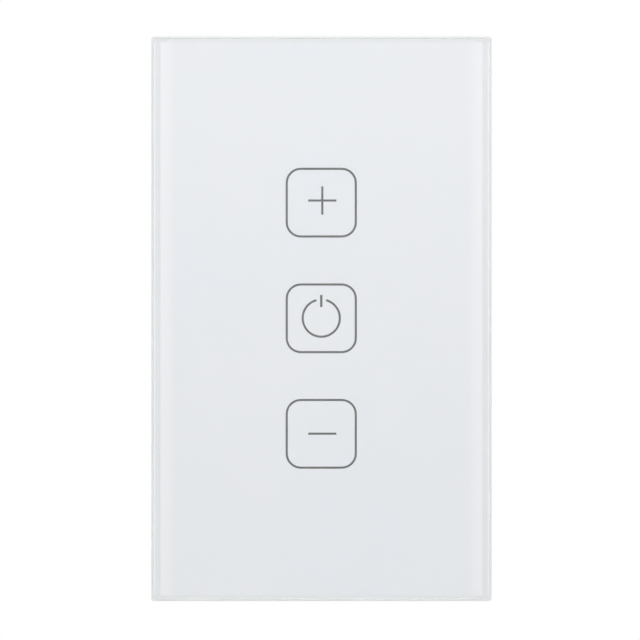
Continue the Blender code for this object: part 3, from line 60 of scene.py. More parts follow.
# %% Colour and node helpers
def linear(colour):
    """An sRGB hex colour as the linear red, green, blue and alpha that Blender works in."""
    channels = [int(colour[i : i + 2], 16) / 255 for i in (0, 2, 4)]
    return (*[c / 12.92 if c <= 0.04045 else ((c + 0.055) / 1.055) ** 2.4 for c in channels], 1.0)


def add(tree, kind, inputs=None, links=None, **settings):
    """Adds a node. inputs are values by socket, and links are (node, output) pairs by socket."""
    made = tree.nodes.new(kind)
    for key, value in settings.items():
        setattr(made, key, value)
    for key, value in (inputs or {}).items():
        made.inputs[key].default_value = value
    for key, (source, output) in (links or {}).items():
        tree.links.new(source.outputs[output], made.inputs[key])
    return made


def substance(name, colour, roughness, **inputs):
    """A material with a Principled shader. Returns it with its tree, the shader and the coordinates."""
    material = bpy.data.materials.new(name)
    material.use_nodes = True
    tree = material.node_tree
    tree.nodes.clear()
    shader = add(tree, "ShaderNodeBsdfPrincipled", {"Base Color": linear(colour), "Roughness": roughness})
    for socket, value in inputs.items():
        shader.inputs[socket.replace("_", " ")].default_value = value
    add(tree, "ShaderNodeOutputMaterial", links={"Surface": (shader, "BSDF")})
    return material, tree, shader, add(tree, "ShaderNodeTexCoord")


print("the white print is", [round(c, 3) for c in linear("EDF0F2")[:3]], "in linear light")

# %% [markdown]
# ## Relief and mottle
# Hardly any surface is one even colour. A mould leaves a fine spark-eroded grain, plating leaves clouds,
# and every part has softly broken edges that catch the light. Two helpers cover that: one lays a relief of
# a real grain and depth over a surface and rounds its edges for the light, and the other mixes two close
# tones in clouds of a real width. A noise texture repeats about once per unit divided by its scale, so its
# scale is one over the grain.

# %% Relief and mottle helpers
SOFT_EDGE = 0.12 * MM
NOISE_LOW, NOISE_HIGH = 0.3, 0.7  # most values of a noise texture lie between these


def relief(tree, shader, place, grain, depth, edge=SOFT_EDGE, stretch=(1, 1, 1)):
    """Bumps of a grain and depth in metres, on edges that shade as if rounded."""
    softened = add(tree, "ShaderNodeBevel", {"Radius": edge}, samples=4)
    drawn = add(tree, "ShaderNodeMapping", {"Scale": stretch}, {"Vector": (place, "Object")})
    bumps = add(
        tree,
        "ShaderNodeTexNoise",
        {"Scale": 1 / grain, "Detail": 3.0, "Roughness": 0.6},
        {"Vector": (drawn, "Vector")},
    )
    raised = add(
        tree,
        "ShaderNodeBump",
        {"Strength": 1.0, "Distance": depth},
        {"Height": (bumps, "Fac"), "Normal": (softened, "Normal")},
    )
    tree.links.new(raised.outputs["Normal"], shader.inputs["Normal"])
    return bumps


def mottle(tree, shader, place, width, tones, roughness, stretch=(1, 1, 1), contrast=0.22):
    """Clouds of two tones, a real width across, with a roughness that goes from one value to the other."""
    drawn = add(tree, "ShaderNodeMapping", {"Scale": stretch}, {"Vector": (place, "Object")})
    clouds = add(
        tree,
        "ShaderNodeTexNoise",
        {"Scale": 1 / width, "Detail": 4.0, "Roughness": 0.55},
        {"Vector": (drawn, "Vector")},
    )
    shades = add(tree, "ShaderNodeValToRGB", links={"Fac": (clouds, "Fac")})
    for stop, where, tone in zip(shades.color_ramp.elements, (0.5 - contrast, 0.5 + contrast), tones):
        stop.position = where
        stop.color = linear(tone)
    tree.links.new(shades.outputs["Color"], shader.inputs["Base Color"])
    gloss = add(
        tree,
        "ShaderNodeMapRange",
        {"From Min": NOISE_LOW, "From Max": NOISE_HIGH, "To Min": roughness[0], "To Max": roughness[1]},
        {"Value": (clouds, "Fac")},
    )
    tree.links.new(gloss.outputs["Result"], shader.inputs["Roughness"])
    return shades


print("a grain of 0.12 mm is a noise scale of", round(1 / (0.12 * MM)))
print("edges look rounded over", SOFT_EDGE / MM, "mm")

# %% [markdown]
# ## Toughened glass
# The panel is 4 mm float glass, cut, ground round its edges and toughened. Its faces are perfectly smooth,
# and its ground edges are frosted by the wheel. Iron in the glass greens any long path, so the edges look
# pale green. The faces are a clear dielectric of index 1.52 with a weak absorption in the volume. Wherever
# the surface turns away from the faces, the shader turns rough and mostly milky, as ground glass is. A
# second material on the edges could do that too, but the solid has one slot, and the normal knows where
# they are.
#
# Light that falls on the print behind the glass would need slow, noisy refracted paths. So the glass lets
# shadow and diffuse rays straight through, while the eye and its reflections still meet real glass.

# %% Toughened glass: clear faces and ground edges
GLASS_INDEX = 1.52
toughened_glass, tree, shader, place = substance("toughened_float_glass", "FBFDFC", 0.0, IOR=GLASS_INDEX)
shader.inputs["Transmission Weight"].default_value = 1.0
frost = add(
    tree,
    "ShaderNodeBsdfPrincipled",
    {"Base Color": linear("F1F6F4"), "Roughness": 0.4, "IOR": GLASS_INDEX, "Transmission Weight": 0.25},
)
# The grinding wheel leaves fine scratches, about 0.1 mm apart.
SCRATCH_SPACING, SCRATCH_DEPTH = 0.1 * MM, 0.002 * MM
scratches = add(
    tree, "ShaderNodeTexNoise", {"Scale": 1 / SCRATCH_SPACING, "Detail": 3.0}, {"Vector": (place, "Object")}
)
wheel_marks = add(
    tree, "ShaderNodeBump", {"Strength": 1.0, "Distance": SCRATCH_DEPTH}, {"Height": (scratches, "Fac")}
)
tree.links.new(wheel_marks.outputs["Normal"], frost.inputs["Normal"])
# On the faces the normal lies along Y. Below this share of it the surface is an edge or its arris.
FACE_SHARE = 0.9
form = add(tree, "ShaderNodeNewGeometry")
facing = add(tree, "ShaderNodeSeparateXYZ", links={"Vector": (form, "True Normal")})
flatness = add(tree, "ShaderNodeMath", links={0: (facing, "Y")}, operation="ABSOLUTE")
ground = add(tree, "ShaderNodeMath", {1: FACE_SHARE}, {0: (flatness, "Value")}, operation="LESS_THAN")
body = add(
    tree, "ShaderNodeMixShader", links={0: (ground, "Value"), 1: (shader, "BSDF"), 2: (frost, "BSDF")}
)
print("ground where the normal is over", round(math.degrees(math.acos(FACE_SHARE))), "degrees off the face")

# %% Toughened glass: the way of light and the iron
rays = add(tree, "ShaderNodeLightPath")
passing = add(
    tree,
    "ShaderNodeMath",
    links={0: (rays, "Is Shadow Ray"), 1: (rays, "Is Diffuse Ray")},
    operation="MAXIMUM",
)
STRAIGHT_TINT = (0.975, 0.98, 0.98, 1.0)  # what is left of light that goes straight through
clear = add(tree, "ShaderNodeBsdfTransparent", {"Color": STRAIGHT_TINT})
either = add(
    tree, "ShaderNodeMixShader", links={0: (passing, "Value"), 1: (body, "Shader"), 2: (clear, "BSDF")}
)
surface = next(n for n in tree.nodes if n.type == "OUTPUT_MATERIAL")
tree.links.new(either.outputs["Shader"], surface.inputs["Surface"])
IRON_DENSITY, IRON_TINT = 3.0, linear("B8E4D2")
iron = add(tree, "ShaderNodeVolumeAbsorption", {"Color": IRON_TINT, "Density": IRON_DENSITY})
tree.links.new(iron.outputs["Volume"], surface.inputs["Volume"])
glass_front, glass_rear = (corner[1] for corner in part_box("glass_panel"))
red_kept = math.exp(-IRON_DENSITY * (glass_rear - glass_front) * (1 - IRON_TINT[0]))
print("glass", round((glass_rear - glass_front) / MM, 1), "mm thick keeps", round(red_kept, 3), "of red")

# %% [markdown]
# ## Prints on the film
# Behind the glass lies a film printed solid white, with the key signs in grey line. Screen print is laid by
# a squeegee through a mesh, so its tone wanders very slightly over some centimetres. Light that enters the
# ground edges of the glass runs inwards and lifts the print along both sides by a few percent over 2 mm.
# The glass here carries no such light, so that light is painted into the print as a lighter tone there. The
# grey is a matt, even ink.

# %% White print
# A mix node has sockets for every kind of value, and colours sit at these numbers.
COLOUR_A, COLOUR_B, COLOUR_RESULT = 6, 7, 2
LIFT_START, LIFT_FULL = 31.0 * MM, 33.2 * MM
white_print, tree, shader, place = substance("white_screen_print", "EDF0F2", 0.45)
tones = mottle(tree, shader, place, 45 * MM, ("EBEEF2", "EEF0F3"), (0.4, 0.5))
relief(tree, shader, place, 0.25 * MM, 0.002 * MM, 0.01 * MM)
# Painted light: the print turns lighter within about 2 mm of each side, in place of light from the glass
# edges.
sides = add(tree, "ShaderNodeSeparateXYZ", links={"Vector": (place, "Object")})
off_middle = add(tree, "ShaderNodeMath", links={0: (sides, "X")}, operation="ABSOLUTE")
edge_light = add(
    tree,
    "ShaderNodeMapRange",
    {"From Min": LIFT_START, "From Max": LIFT_FULL},
    {"Value": (off_middle, "Value")},
    interpolation_type="SMOOTHSTEP",
)
lifted = add(
    tree,
    "ShaderNodeMix",
    {COLOUR_B: linear("F3F4F6")},
    {0: (edge_light, "Result"), COLOUR_A: (tones, "Color")},
    data_type="RGBA",
)
tree.links.new(lifted.outputs[COLOUR_RESULT], shader.inputs["Base Color"])
print("white print: clouds 45 mm, lifted within", round((LIFT_FULL - LIFT_START) / MM, 1), "mm of each side")

# %% Grey print
grey_print, tree, shader, place = substance("grey_screen_print", "565857", 0.5)
mottle(tree, shader, place, 1.2 * MM, ("525453", "595B5A"), (0.45, 0.55))
relief(tree, shader, place, 0.1 * MM, 0.002 * MM)
print("grey print: clouds 1.2 mm")

# %% [markdown]
# ## Moulded plastics
# The carrier is ABS, and the housing and base cover are polycarbonate, all injection moulded. Their tools
# were finished by spark erosion, which gives the parts a fine even grain and a satin look. The terminal
# block is a glass-filled polyamide, greyer and a little rougher. Subsurface light is so slight at this wall
# thickness that a plain dielectric at index 1.53 to 1.58 does well and renders quickly. A real spark-eroded
# grain is nearer 0.05 mm wide. That is too fine to show, so it is drawn two to four times as coarse.

# %% Moulded plastics
def moulded(name, tones, roughness, grain, depth, ior):
    """A spark-eroded moulding of two close tones, its grain and depth given in millimetres."""
    material, tree, shader, place = substance(name, tones[0], roughness, IOR=ior)
    mottle(tree, shader, place, 18 * MM, tones, (roughness - 0.04, roughness + 0.05))
    relief(tree, shader, place, grain * MM, depth * MM)
    print(f"{name}: grain {grain} mm, {depth} mm deep, roughness {roughness}")
    return material


white_abs = moulded("white_moulded_abs", ("EBEDED", "EFF1F1"), 0.42, 0.12, 0.006, 1.53)
housing_white = moulded("white_moulded_polycarbonate", ("E1E3E2", "E7E9E8"), 0.46, 0.16, 0.009, 1.58)
block_grey = moulded("glass_filled_polyamide", ("CFD3D3", "DADDDC"), 0.52, 0.2, 0.01, 1.53)

# %% [markdown]
# ## Coats of the electronic parts
# Chips are moulded in black epoxy filled with silica, which looks matt and dead flat. A capacitor's sleeve
# is vinyl shrunk on by heat, glossier and faintly wavy. Its yellow neighbour is a glossy box of polyester,
# and the fuse a brown phenolic pot. The varistor is dipped in blue epoxy, which runs and leaves a soft skin
# like orange peel. Ferrite is pressed powder, sintered hard and dull. The lens of an LED is clear silicone
# over pale resin. All are plain dielectrics too, so one helper makes them, with a grain that suits how each
# was made.

# %% Coats of the electronic parts
black_resin = moulded("black_epoxy_moulding", ("17181A", "232427"), 0.5, 0.08, 0.006, 1.55)
sleeve_black = moulded("shrunk_vinyl_sleeve", ("1B1E26", "272B35"), 0.3, 0.6, 0.01, 1.54)
box_yellow = moulded("yellow_polyester_box", ("D2AE38", "DEBD49"), 0.38, 0.15, 0.005, 1.55)
fuse_brown = moulded("brown_phenolic", ("6B321D", "7F4027"), 0.4, 0.15, 0.006, 1.6)
varistor_blue = moulded("blue_epoxy_dip", ("24549C", "2E62B2"), 0.32, 0.7, 0.03, 1.55)
ferrite_grey = moulded("sintered_ferrite", ("222325", "313234"), 0.62, 0.1, 0.012, 1.6)
led_lens = moulded("led_silicone_lens", ("F1EEDD", "F6F3E6"), 0.22, 0.3, 0.003, 1.41)

# %% [markdown]
# ## Plate, wire and solder
# Screws and cages are electroplated zinc, bright with faint clouds. Springs and the shield can are tinned,
# the bars are tinned brass, and the heat sink is rolled aluminium, whose grain is long one way. The choke
# is wound with copper wire in a clear enamel that warms its colour. Solder freezes bright with small
# ripples, and the pads have a thin, even plating of gold. All are metals, so they keep the default index
# and take their colour in reflection. One helper makes them from two tones and a grain, which can be drawn
# out along the rolling.

# %% Metals
def plated(name, tones, roughness, cloud, grain, depth, stretch=(1, 1, 1)):
    """A metal with clouds of two tones and a grain that can be drawn out along one axis, in millimetres."""
    material, tree, shader, place = substance(name, tones[0], roughness, Metallic=1.0)
    mottle(tree, shader, place, cloud * MM, tones, (roughness - 0.06, roughness + 0.08), stretch)
    relief(tree, shader, place, grain * MM, depth * MM, 0.1 * MM, stretch)
    print(f"{name}: clouds {cloud} mm, grain {grain} mm")
    return material


zinc_plate = plated("zinc_plated_steel", ("B9BCBD", "CDD0D2"), 0.27, 1.6, 0.15, 0.003)
tinned_wire = plated("tinned_spring_wire", ("C2C3C4", "D2D3D5"), 0.24, 0.9, 0.1, 0.002, (1, 4, 1))
tinplate = plated("tinplate_can", ("B9BBBD", "C8CACC"), 0.3, 5.0, 0.2, 0.002, (6, 1, 1))
tinned_brass = plated("tinned_brass", ("BFB08A", "CFC096"), 0.3, 1.5, 0.2, 0.003)
aluminium = plated("rolled_aluminium", ("BFC1C3", "CDCFD1"), 0.34, 4.0, 0.12, 0.003, (0.15, 4, 4))
copper_wire = plated("enamelled_copper_wire", ("A95A28", "BF6E34"), 0.28, 1.0, 0.1, 0.002)
solder = plated("tin_solder", ("B4B6B8", "CFD1D3"), 0.22, 0.5, 0.2, 0.012)
gold_pad = plated("gold_plated_copper", ("C79F4B", "D8B566"), 0.26, 0.8, 0.08, 0.002)

# %% [markdown]
# ## Power transistor
# A power transistor is a block of black resin moulded on a tinned tab and legs, and here it is one solid
# with one slot. Two solids would need an edge that nobody sees, so a mask by place does the work: beyond
# the ends of the block and behind its face it turns the resin to tinned metal.

# %% Resin on a tinned tab
power_package, tree, shader, place = substance("resin_on_tinned_tab", "1A1B1D", 0.45, IOR=1.55)
relief(tree, shader, place, 0.1 * MM, 0.005 * MM)
BLOCK_MIDDLE, BLOCK_HALF, TAB_FRONT = 13.9 * MM, 4.6 * MM, 23.95 * MM
axes = add(tree, "ShaderNodeSeparateXYZ", links={"Vector": (place, "Object")})
along = add(tree, "ShaderNodeMath", {1: BLOCK_MIDDLE}, {0: (axes, "Y")}, operation="SUBTRACT")
off_middle = add(tree, "ShaderNodeMath", links={0: (along, "Value")}, operation="ABSOLUTE")
past_ends = add(
    tree, "ShaderNodeMath", {1: BLOCK_HALF}, {0: (off_middle, "Value")}, operation="GREATER_THAN"
)
in_tab = add(tree, "ShaderNodeMath", {1: TAB_FRONT}, {0: (axes, "Z")}, operation="GREATER_THAN")
tinned = add(
    tree, "ShaderNodeMath", links={0: (past_ends, "Value"), 1: (in_tab, "Value")}, operation="MAXIMUM"
)
resin_or_tin = add(tree, "ShaderNodeValToRGB", links={"Fac": (tinned, "Value")})
for stop, tone in zip(resin_or_tin.color_ramp.elements, ("1A1B1D", "BDBFC1")):
    stop.color = linear(tone)
tree.links.new(resin_or_tin.outputs["Color"], shader.inputs["Base Color"])
tree.links.new(tinned.outputs["Value"], shader.inputs["Metallic"])
print("resin_on_tinned_tab: resin over", 2 * BLOCK_HALF / MM, "mm of its length")

# %% [markdown]
# ## Galvanised strap
# The strap is hot-dip galvanised sheet. The zinc freezes on it in leaf-like crystals a few millimetres
# wide, and each leaf mirrors the room at its own angle. Voronoi cells imitate that well: every cell gets
# its own tone from one colour channel and its own gloss from another. Noise would give clouds without their
# straight edges.

# %% Galvanised sheet
LEAF = 3.2 * MM
galvanised, tree, shader, place = substance("galvanised_sheet", "B4B7B9", 0.36, Metallic=1.0)
crystals = add(
    tree, "ShaderNodeTexVoronoi", {"Scale": 1 / LEAF, "Randomness": 1.0}, {"Vector": (place, "Object")}
)
leaf_tone = add(tree, "ShaderNodeSeparateColor", links={"Color": (crystals, "Color")})
shades = add(tree, "ShaderNodeValToRGB", links={"Fac": (leaf_tone, "Red")})
for stop, tone in zip(shades.color_ramp.elements, ("ABAEB0", "C0C3C5")):
    stop.color = linear(tone)
tree.links.new(shades.outputs["Color"], shader.inputs["Base Color"])
leaf_gloss = add(
    tree, "ShaderNodeMapRange", {"To Min": 0.28, "To Max": 0.46}, {"Value": (leaf_tone, "Green")}
)
tree.links.new(leaf_gloss.outputs["Result"], shader.inputs["Roughness"])
relief(tree, shader, place, 0.3 * MM, 0.004 * MM)
print("galvanised_sheet: leaves of zinc", LEAF / MM, "mm")

# %% [markdown]
# ## Laminate and tape
# Circuit boards are woven glass and epoxy under green solder mask. The weave is half a millimetre across
# and shows through the mask as a faint checker, made here from two crossed wave textures. The transformer's
# coil is wrapped in amber polyester tape, whose overlapping edges give thin lines 1.4 mm apart. A wave
# texture of scale 1 repeats every pi/10 of a unit, so its scale is that length over the real one.

# %% Green laminate
WAVE_REPEAT = math.pi / 10
WEAVE, WEAVE_DEPTH = 0.5 * MM, 0.01 * MM
board_green, tree, shader, place = substance("green_solder_mask", "1C5236", 0.34, IOR=1.55)
mottle(tree, shader, place, 9 * MM, ("1A4E33", "20593B"), (0.3, 0.38))
weave = [
    add(
        tree,
        "ShaderNodeTexWave",
        {"Scale": WAVE_REPEAT / WEAVE, "Distortion": 0.4},
        {"Vector": (place, "Object")},
        bands_direction=way,
    )
    for way in ("X", "Z")
]
checker = add(
    tree, "ShaderNodeMath", links={0: (weave[0], "Fac"), 1: (weave[1], "Fac")}, operation="MULTIPLY"
)
woven = add(
    tree, "ShaderNodeBump", {"Strength": 0.6, "Distance": WEAVE_DEPTH}, {"Height": (checker, "Value")}
)
tree.links.new(woven.outputs["Normal"], shader.inputs["Normal"])
print("weave", WEAVE / MM, "mm, scale", round(WAVE_REPEAT / WEAVE))

# %% Amber tape
LAP, LAP_STEP = 1.4 * MM, 0.03 * MM
amber_tape, tree, shader, place = substance("amber_polyester_tape", "CFA436", 0.28, IOR=1.6)
mottle(tree, shader, place, 3 * MM, ("C99C2E", "D8AF44"), (0.22, 0.34))
laps = add(
    tree,
    "ShaderNodeTexWave",
    {"Scale": WAVE_REPEAT / LAP},
    {"Vector": (place, "Object")},
    bands_direction="Y",
)
lapped = add(tree, "ShaderNodeBump", {"Strength": 0.8, "Distance": LAP_STEP}, {"Height": (laps, "Fac")})
tree.links.new(lapped.outputs["Normal"], shader.inputs["Normal"])
print("tape edges", LAP / MM, "mm apart")

# %% [markdown]
# ## Dressing the solids
# Each solid carries the name of its piece, and repeated pieces end in a number. So one table from finish to
# the starts of names dresses all fifty. A solid has one material slot, and its finish goes straight into
# it.

# %% Finish of each solid
FINISHES = {
    toughened_glass: ("glass_panel",),
    white_print: ("printed_film",),
    white_abs: ("panel_carrier",),
    housing_white: ("base_cover", "rear_housing"),
    galvanised: ("mounting_strap",),
    zinc_plate: ("housing_screw", "terminal_screw", "terminal_cage", "transistor_screw"),
    tinned_wire: ("touch_spring",),
    board_green: ("touch_board", "power_board", "radio_module"),
    led_lens: ("indicator_led",),
    black_resin: ("touch_chip", "board_header", "board_socket", "bridge_rectifier"),
    power_package: ("power_transistor",),
    tinplate: ("radio_shield",),
    block_grey: ("terminal_block",),
    tinned_brass: ("current_bar",),
    aluminium: ("heat_sink",),
    sleeve_black: ("electrolytic_capacitor",),
    box_yellow: ("film_capacitor",),
    ferrite_grey: ("choke_core", "transformer_core"),
    copper_wire: ("choke_winding",),
    amber_tape: ("transformer_winding",),
    fuse_brown: ("fuse",),
    varistor_blue: ("varistor",),
}
dressed = set()
for finish, starts in FINISHES.items():
    for name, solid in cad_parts.items():
        if name.startswith(starts):
            solid.data.materials.clear()
            solid.data.materials.append(finish)
            dressed.add(name)
bare = sorted(set(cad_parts) - dressed)
print(len(dressed), "of", len(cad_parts), "solids dressed, bare:", bare)

# %% [markdown]
# ## Shapes in millimetres
# The added pieces are small, so their sizes are written in millimetres and turned into metres where each
# vertex is made. A helper reads the corners of a solid, so that a piece sits exactly on what carries it.
# Most pieces are flat plates or rings between two depths, and an outline can lie in the wall plane or be
# seen from the side. Working with outlines keeps every mesh closed without a Boolean.

# %% Outlines, plates and rings
def span(node):
    """The lowest and highest corner of a solid at rest, in millimetres."""
    return [[value / MM for value in corner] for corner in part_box(node)]


def middle_of(node):
    """Where the middle of a solid is in the wall plane, as x and z in millimetres."""
    low, high = span(node)
    return ((low[0] + high[0]) / 2, (low[2] + high[2]) / 2)


def wall_plane(a, b, depth):
    """An outline in x and z, with its depth into the wall."""
    return (a, depth, b)


def side_plane(a, b, depth):
    """An outline in y and z, with its depth along x."""
    return (depth, a, b)


def row_of(bm, outline, depth, plane=wall_plane):
    """The vertices of an outline at one depth."""
    return [bm.verts.new(Vector(plane(a, b, depth)) * MM) for a, b in outline]


def arc(centre, radius, start, end, steps):
    """Points along an arc, angles in degrees."""
    angles = [math.radians(start + (end - start) * i / steps) for i in range(steps + 1)]
    return [(centre[0] + radius * math.cos(a), centre[1] + radius * math.sin(a)) for a in angles]


def oblong(centre, width, height):
    """The corners of a rectangle."""
    x, z = centre
    return [(x + a * width / 2, z + b * height / 2) for a, b in ((1, 1), (-1, 1), (-1, -1), (1, -1))]


def round_oblong(centre, width, height, radius, steps=8):
    """A rectangle with round corners."""
    inner = oblong(centre, width - 2 * radius, height - 2 * radius)
    return [p for i, corner in enumerate(inner) for p in arc(corner, radius, 90 * i, 90 * i + 90, steps)]


def plate(bm, outline, near, far, plane=wall_plane):
    """A plate with this outline between two depths."""
    front, rear = row_of(bm, outline, near, plane), row_of(bm, outline, far, plane)
    bm.faces.new(front)
    bm.faces.new(rear[::-1])
    for i, vertex in enumerate(front):
        j = (i + 1) % len(front)
        bm.faces.new((front[j], vertex, rear[i], rear[j]))


def strip(bm, outer, inner, near, far, closed=True):
    """A plate between two outlines with equally many points: a ring, or an open band."""
    corners = ((near, outer), (near, inner), (far, inner), (far, outer))
    rows = [row_of(bm, outline, depth) for depth, outline in corners]
    for i in range(len(outer) - (not closed)):
        j = (i + 1) % len(outer)
        for here, there in zip(rows, rows[1:] + rows[:1]):
            bm.faces.new((here[i], here[j], there[j], there[i]))
    if not closed:
        for i in (0, -1):
            bm.faces.new([row[i] for row in rows])


print("glass", round(span("glass_panel")[1][0] - span("glass_panel")[0][0], 1), "mm wide")

# %% Turned bodies, blocks and pieces
EASE = 0.06


def turned(bm, profile, centre, steps=24):
    """A body of revolution round an axis into the wall, from (radius, depth) points."""
    rows = [
        row_of(bm, arc(centre, radius, 0, 360 - 360 / steps, steps - 1) if radius else [centre], depth)
        for radius, depth in profile
    ]
    closing = [(rows[-1], rows[0])] if profile[0][0] else []
    for near, far in [*zip(rows, rows[1:]), *closing]:
        for i in range(steps):
            j = (i + 1) % steps
            corners = (near[i % len(near)], near[j % len(near)], far[j % len(far)], far[i % len(far)])
            bm.faces.new(list(dict.fromkeys(corners)))


def block(bm, low, high, ease=EASE):
    """A cuboid with eased edges."""
    middle = Vector(low).lerp(Vector(high), 0.5) * MM
    size = (Vector(high) - Vector(low)) * MM
    fit = Matrix.Translation(middle) @ Matrix.Diagonal((*size, 1.0))
    corners = bmesh.ops.create_cube(bm, size=1.0, matrix=fit)["verts"]
    edges = list(dict.fromkeys(edge for corner in corners for edge in corner.link_edges))
    bmesh.ops.bevel(bm, geom=edges, offset=ease * MM, segments=1, affect="EDGES")


def piece(name, bm, finish, body="switch_body", smooth=None):
    """An object from a bmesh that rides on a body. Edges under smooth, in degrees, are shaded smooth."""
    bmesh.ops.recalc_face_normals(bm, faces=bm.faces)
    mesh = bpy.data.meshes.new(name)
    bm.to_mesh(mesh)
    bm.free()
    mesh.materials.append(finish)
    if smooth:
        mesh.shade_smooth()
        mesh.set_sharp_from_angle(angle=math.radians(smooth))
    made = bpy.data.objects.new(name, mesh)
    bpy.context.scene.collection.objects.link(made)
    print(name, len(mesh.polygons), "faces")
    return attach(made, body) or made


print("the edges of a block are eased by", EASE, "mm")

# %% [markdown]
# ## Key signs
# The three keys are printed line frames with a plus, a power sign and a minus inside. They are made as
# real, very thin plates on the front of the film. So they shade as ink behind glass does and stay sharp at
# any zoom, which a texture would not. Their sizes and places were measured in the photograph at 4.71 pixels
# to the millimetre, and the plates are 0.02 mm thick.

# %% Key frames
film_low, film_high = span("printed_film")
INK = 0.02
INK_REAR = film_low[1] - 0.001
INK_FRONT = INK_REAR - INK
LINE = 0.45
KEY_SIZE = (14.72, 14.42)
KEY_CORNER = 3.0
KEY_X = -0.05
KEY_HEIGHTS = {"upper": 24.73, "middle": 0.08, "lower": -24.53}

for key, height in KEY_HEIGHTS.items():
    bm = bmesh.new()
    edges = [
        round_oblong((KEY_X, height), KEY_SIZE[0] + grow, KEY_SIZE[1] + grow, KEY_CORNER + grow / 2)
        for grow in (LINE, -LINE)
    ]
    strip(bm, *edges, INK_FRONT, INK_REAR)
    piece(f"key_frame_{key}", bm, grey_print, "front_panel")

# %% Plus and minus
SIGN_X = 0.17
BAR, BAR_LINE = 6.0, 0.45
PLUS_Z, MINUS_Z = 25.18, -24.5
arm = (BAR - BAR_LINE) / 2
bm = bmesh.new()
plate(bm, oblong((SIGN_X, PLUS_Z), BAR, BAR_LINE), INK_FRONT, INK_REAR)
for side in (-1, 1):
    plate(bm, oblong((SIGN_X, PLUS_Z + side * (BAR_LINE + arm) / 2), BAR_LINE, arm), INK_FRONT, INK_REAR)
piece("plus_sign", bm, grey_print, "front_panel")

bm = bmesh.new()
plate(bm, oblong((SIGN_X, MINUS_Z), BAR, BAR_LINE), INK_FRONT, INK_REAR)
piece("minus_sign", bm, grey_print, "front_panel")

# %% Power sign
POWER_CENTRE, POWER_RADIUS = (-0.05, 0.12), 3.96
POWER_GAP = 15.1  # degrees that the ring stays open on each side of the top
STROKE_Z, STROKE_WIDTH, STROKE_HEIGHT = 3.77, 0.5, 2.56
start, end = 90 + POWER_GAP, 450 - POWER_GAP
rings = [arc(POWER_CENTRE, POWER_RADIUS + half, start, end, 64) for half in (BAR_LINE / 2, -BAR_LINE / 2)]
bm = bmesh.new()
strip(bm, *rings, INK_FRONT, INK_REAR, closed=False)
plate(bm, oblong((POWER_CENTRE[0], STROKE_Z), STROKE_WIDTH, STROKE_HEIGHT), INK_FRONT, INK_REAR)
piece("power_sign", bm, grey_print, "front_panel")

# %% [markdown]
# ## Glue round the film
# The film lies in a shallow pocket of the carrier, and a bead of white acrylic glue fills the narrow gap
# round it. Without the bead that gap would show through the glass as a dark line. It could be swept along a
# curve, but it is flat on both faces, so one ring between two outlines does it, a little shy of what it
# touches.

# %% Glue bead
glue_white, tree, shader, place = substance("white_acrylic_glue", "EEF0F1", 0.5)
mottle(tree, shader, place, 2 * MM, ("ECEEEF", "F0F2F3"), (0.45, 0.55))
relief(tree, shader, place, 0.4 * MM, 0.01 * MM, 0.01 * MM)
POCKET_GAP, FILM_CORNER = 0.3, 0.4
SHY = 0.01
BEAD_RISE = 0.005
film_width, film_height = film_high[0] - film_low[0], film_high[2] - film_low[2]
bm = bmesh.new()
edges = [
    round_oblong((0, 0), film_width + grow, film_height + grow, FILM_CORNER + grow / 2, 4)
    for grow in (2 * (POCKET_GAP - SHY), 2 * SHY)
]
strip(bm, *edges, film_low[1] - BEAD_RISE, film_high[1])
piece("glue_bead", bm, glue_white, "front_panel")

# %% [markdown]
# ## Bonding tape
# Along both sides of the print the glass is held on the carrier by a strip of translucent acrylic tape,
# which fills the 0.1 mm between them. Its tone is a little greyer than the moulding: painted shade, which
# shows through the clear border of the glass as a slightly darker band beside the print. Along its outer
# edge a thin pale strip lies flat over the rounded rim of the carrier: a painted highlight, which also hides
# the shade on that rim. At the corners a short pad closes the tape over the carrier's rounded corner. All
# of it is flat, so it is cut from plates, half as thick as the tape and clear of what they lie between.

# %% Bonding tape
# The tape's tone, greyer than the moulding, is painted shade: the darker band seen through the glass border.
bonding_tape_painted_shade, tree, shader, place = substance("acrylic_tape_with_painted_shade", "E8EBED", 0.4, IOR=1.47)
mottle(tree, shader, place, 6 * MM, ("E6E8EA", "EAECEE"), (0.35, 0.45))
relief(tree, shader, place, 0.5 * MM, 0.002 * MM, 0.01 * MM)
carrier_high = span("panel_carrier")[1]
TAPE_SETBACK = 0.4
TAPE_FRONT, TAPE_REAR = film_low[1] - 0.06, film_low[1] - 0.01
tape_edge = carrier_high[0] - TAPE_SETBACK
tape_width = tape_edge - film_high[0] - SHY
bm = bmesh.new()
for side in (-1, 1):
    outline = oblong((side * (tape_edge - tape_width / 2), 0), tape_width, film_height)
    plate(bm, outline, TAPE_FRONT, TAPE_REAR)

PAD_WIDTH, PAD_BEVEL = 2.8, 0.22
pad_side, pad_end, pad_start = carrier_high[0] - 0.02, carrier_high[2] - 0.03, film_high[2] + SHY
pad = [
    (pad_side - PAD_WIDTH, pad_start),
    (pad_side, pad_start),
    (pad_side, pad_end - PAD_BEVEL),
    (pad_side - PAD_BEVEL, pad_end),
    (pad_side - PAD_WIDTH, pad_end),
]
for side in (-1, 1):
    for end in (-1, 1):
        plate(bm, [(side * x, end * z) for x, z in pad], TAPE_FRONT, TAPE_REAR)
piece("bonding_tape_painted_shade", bm, bonding_tape_painted_shade, "front_panel")

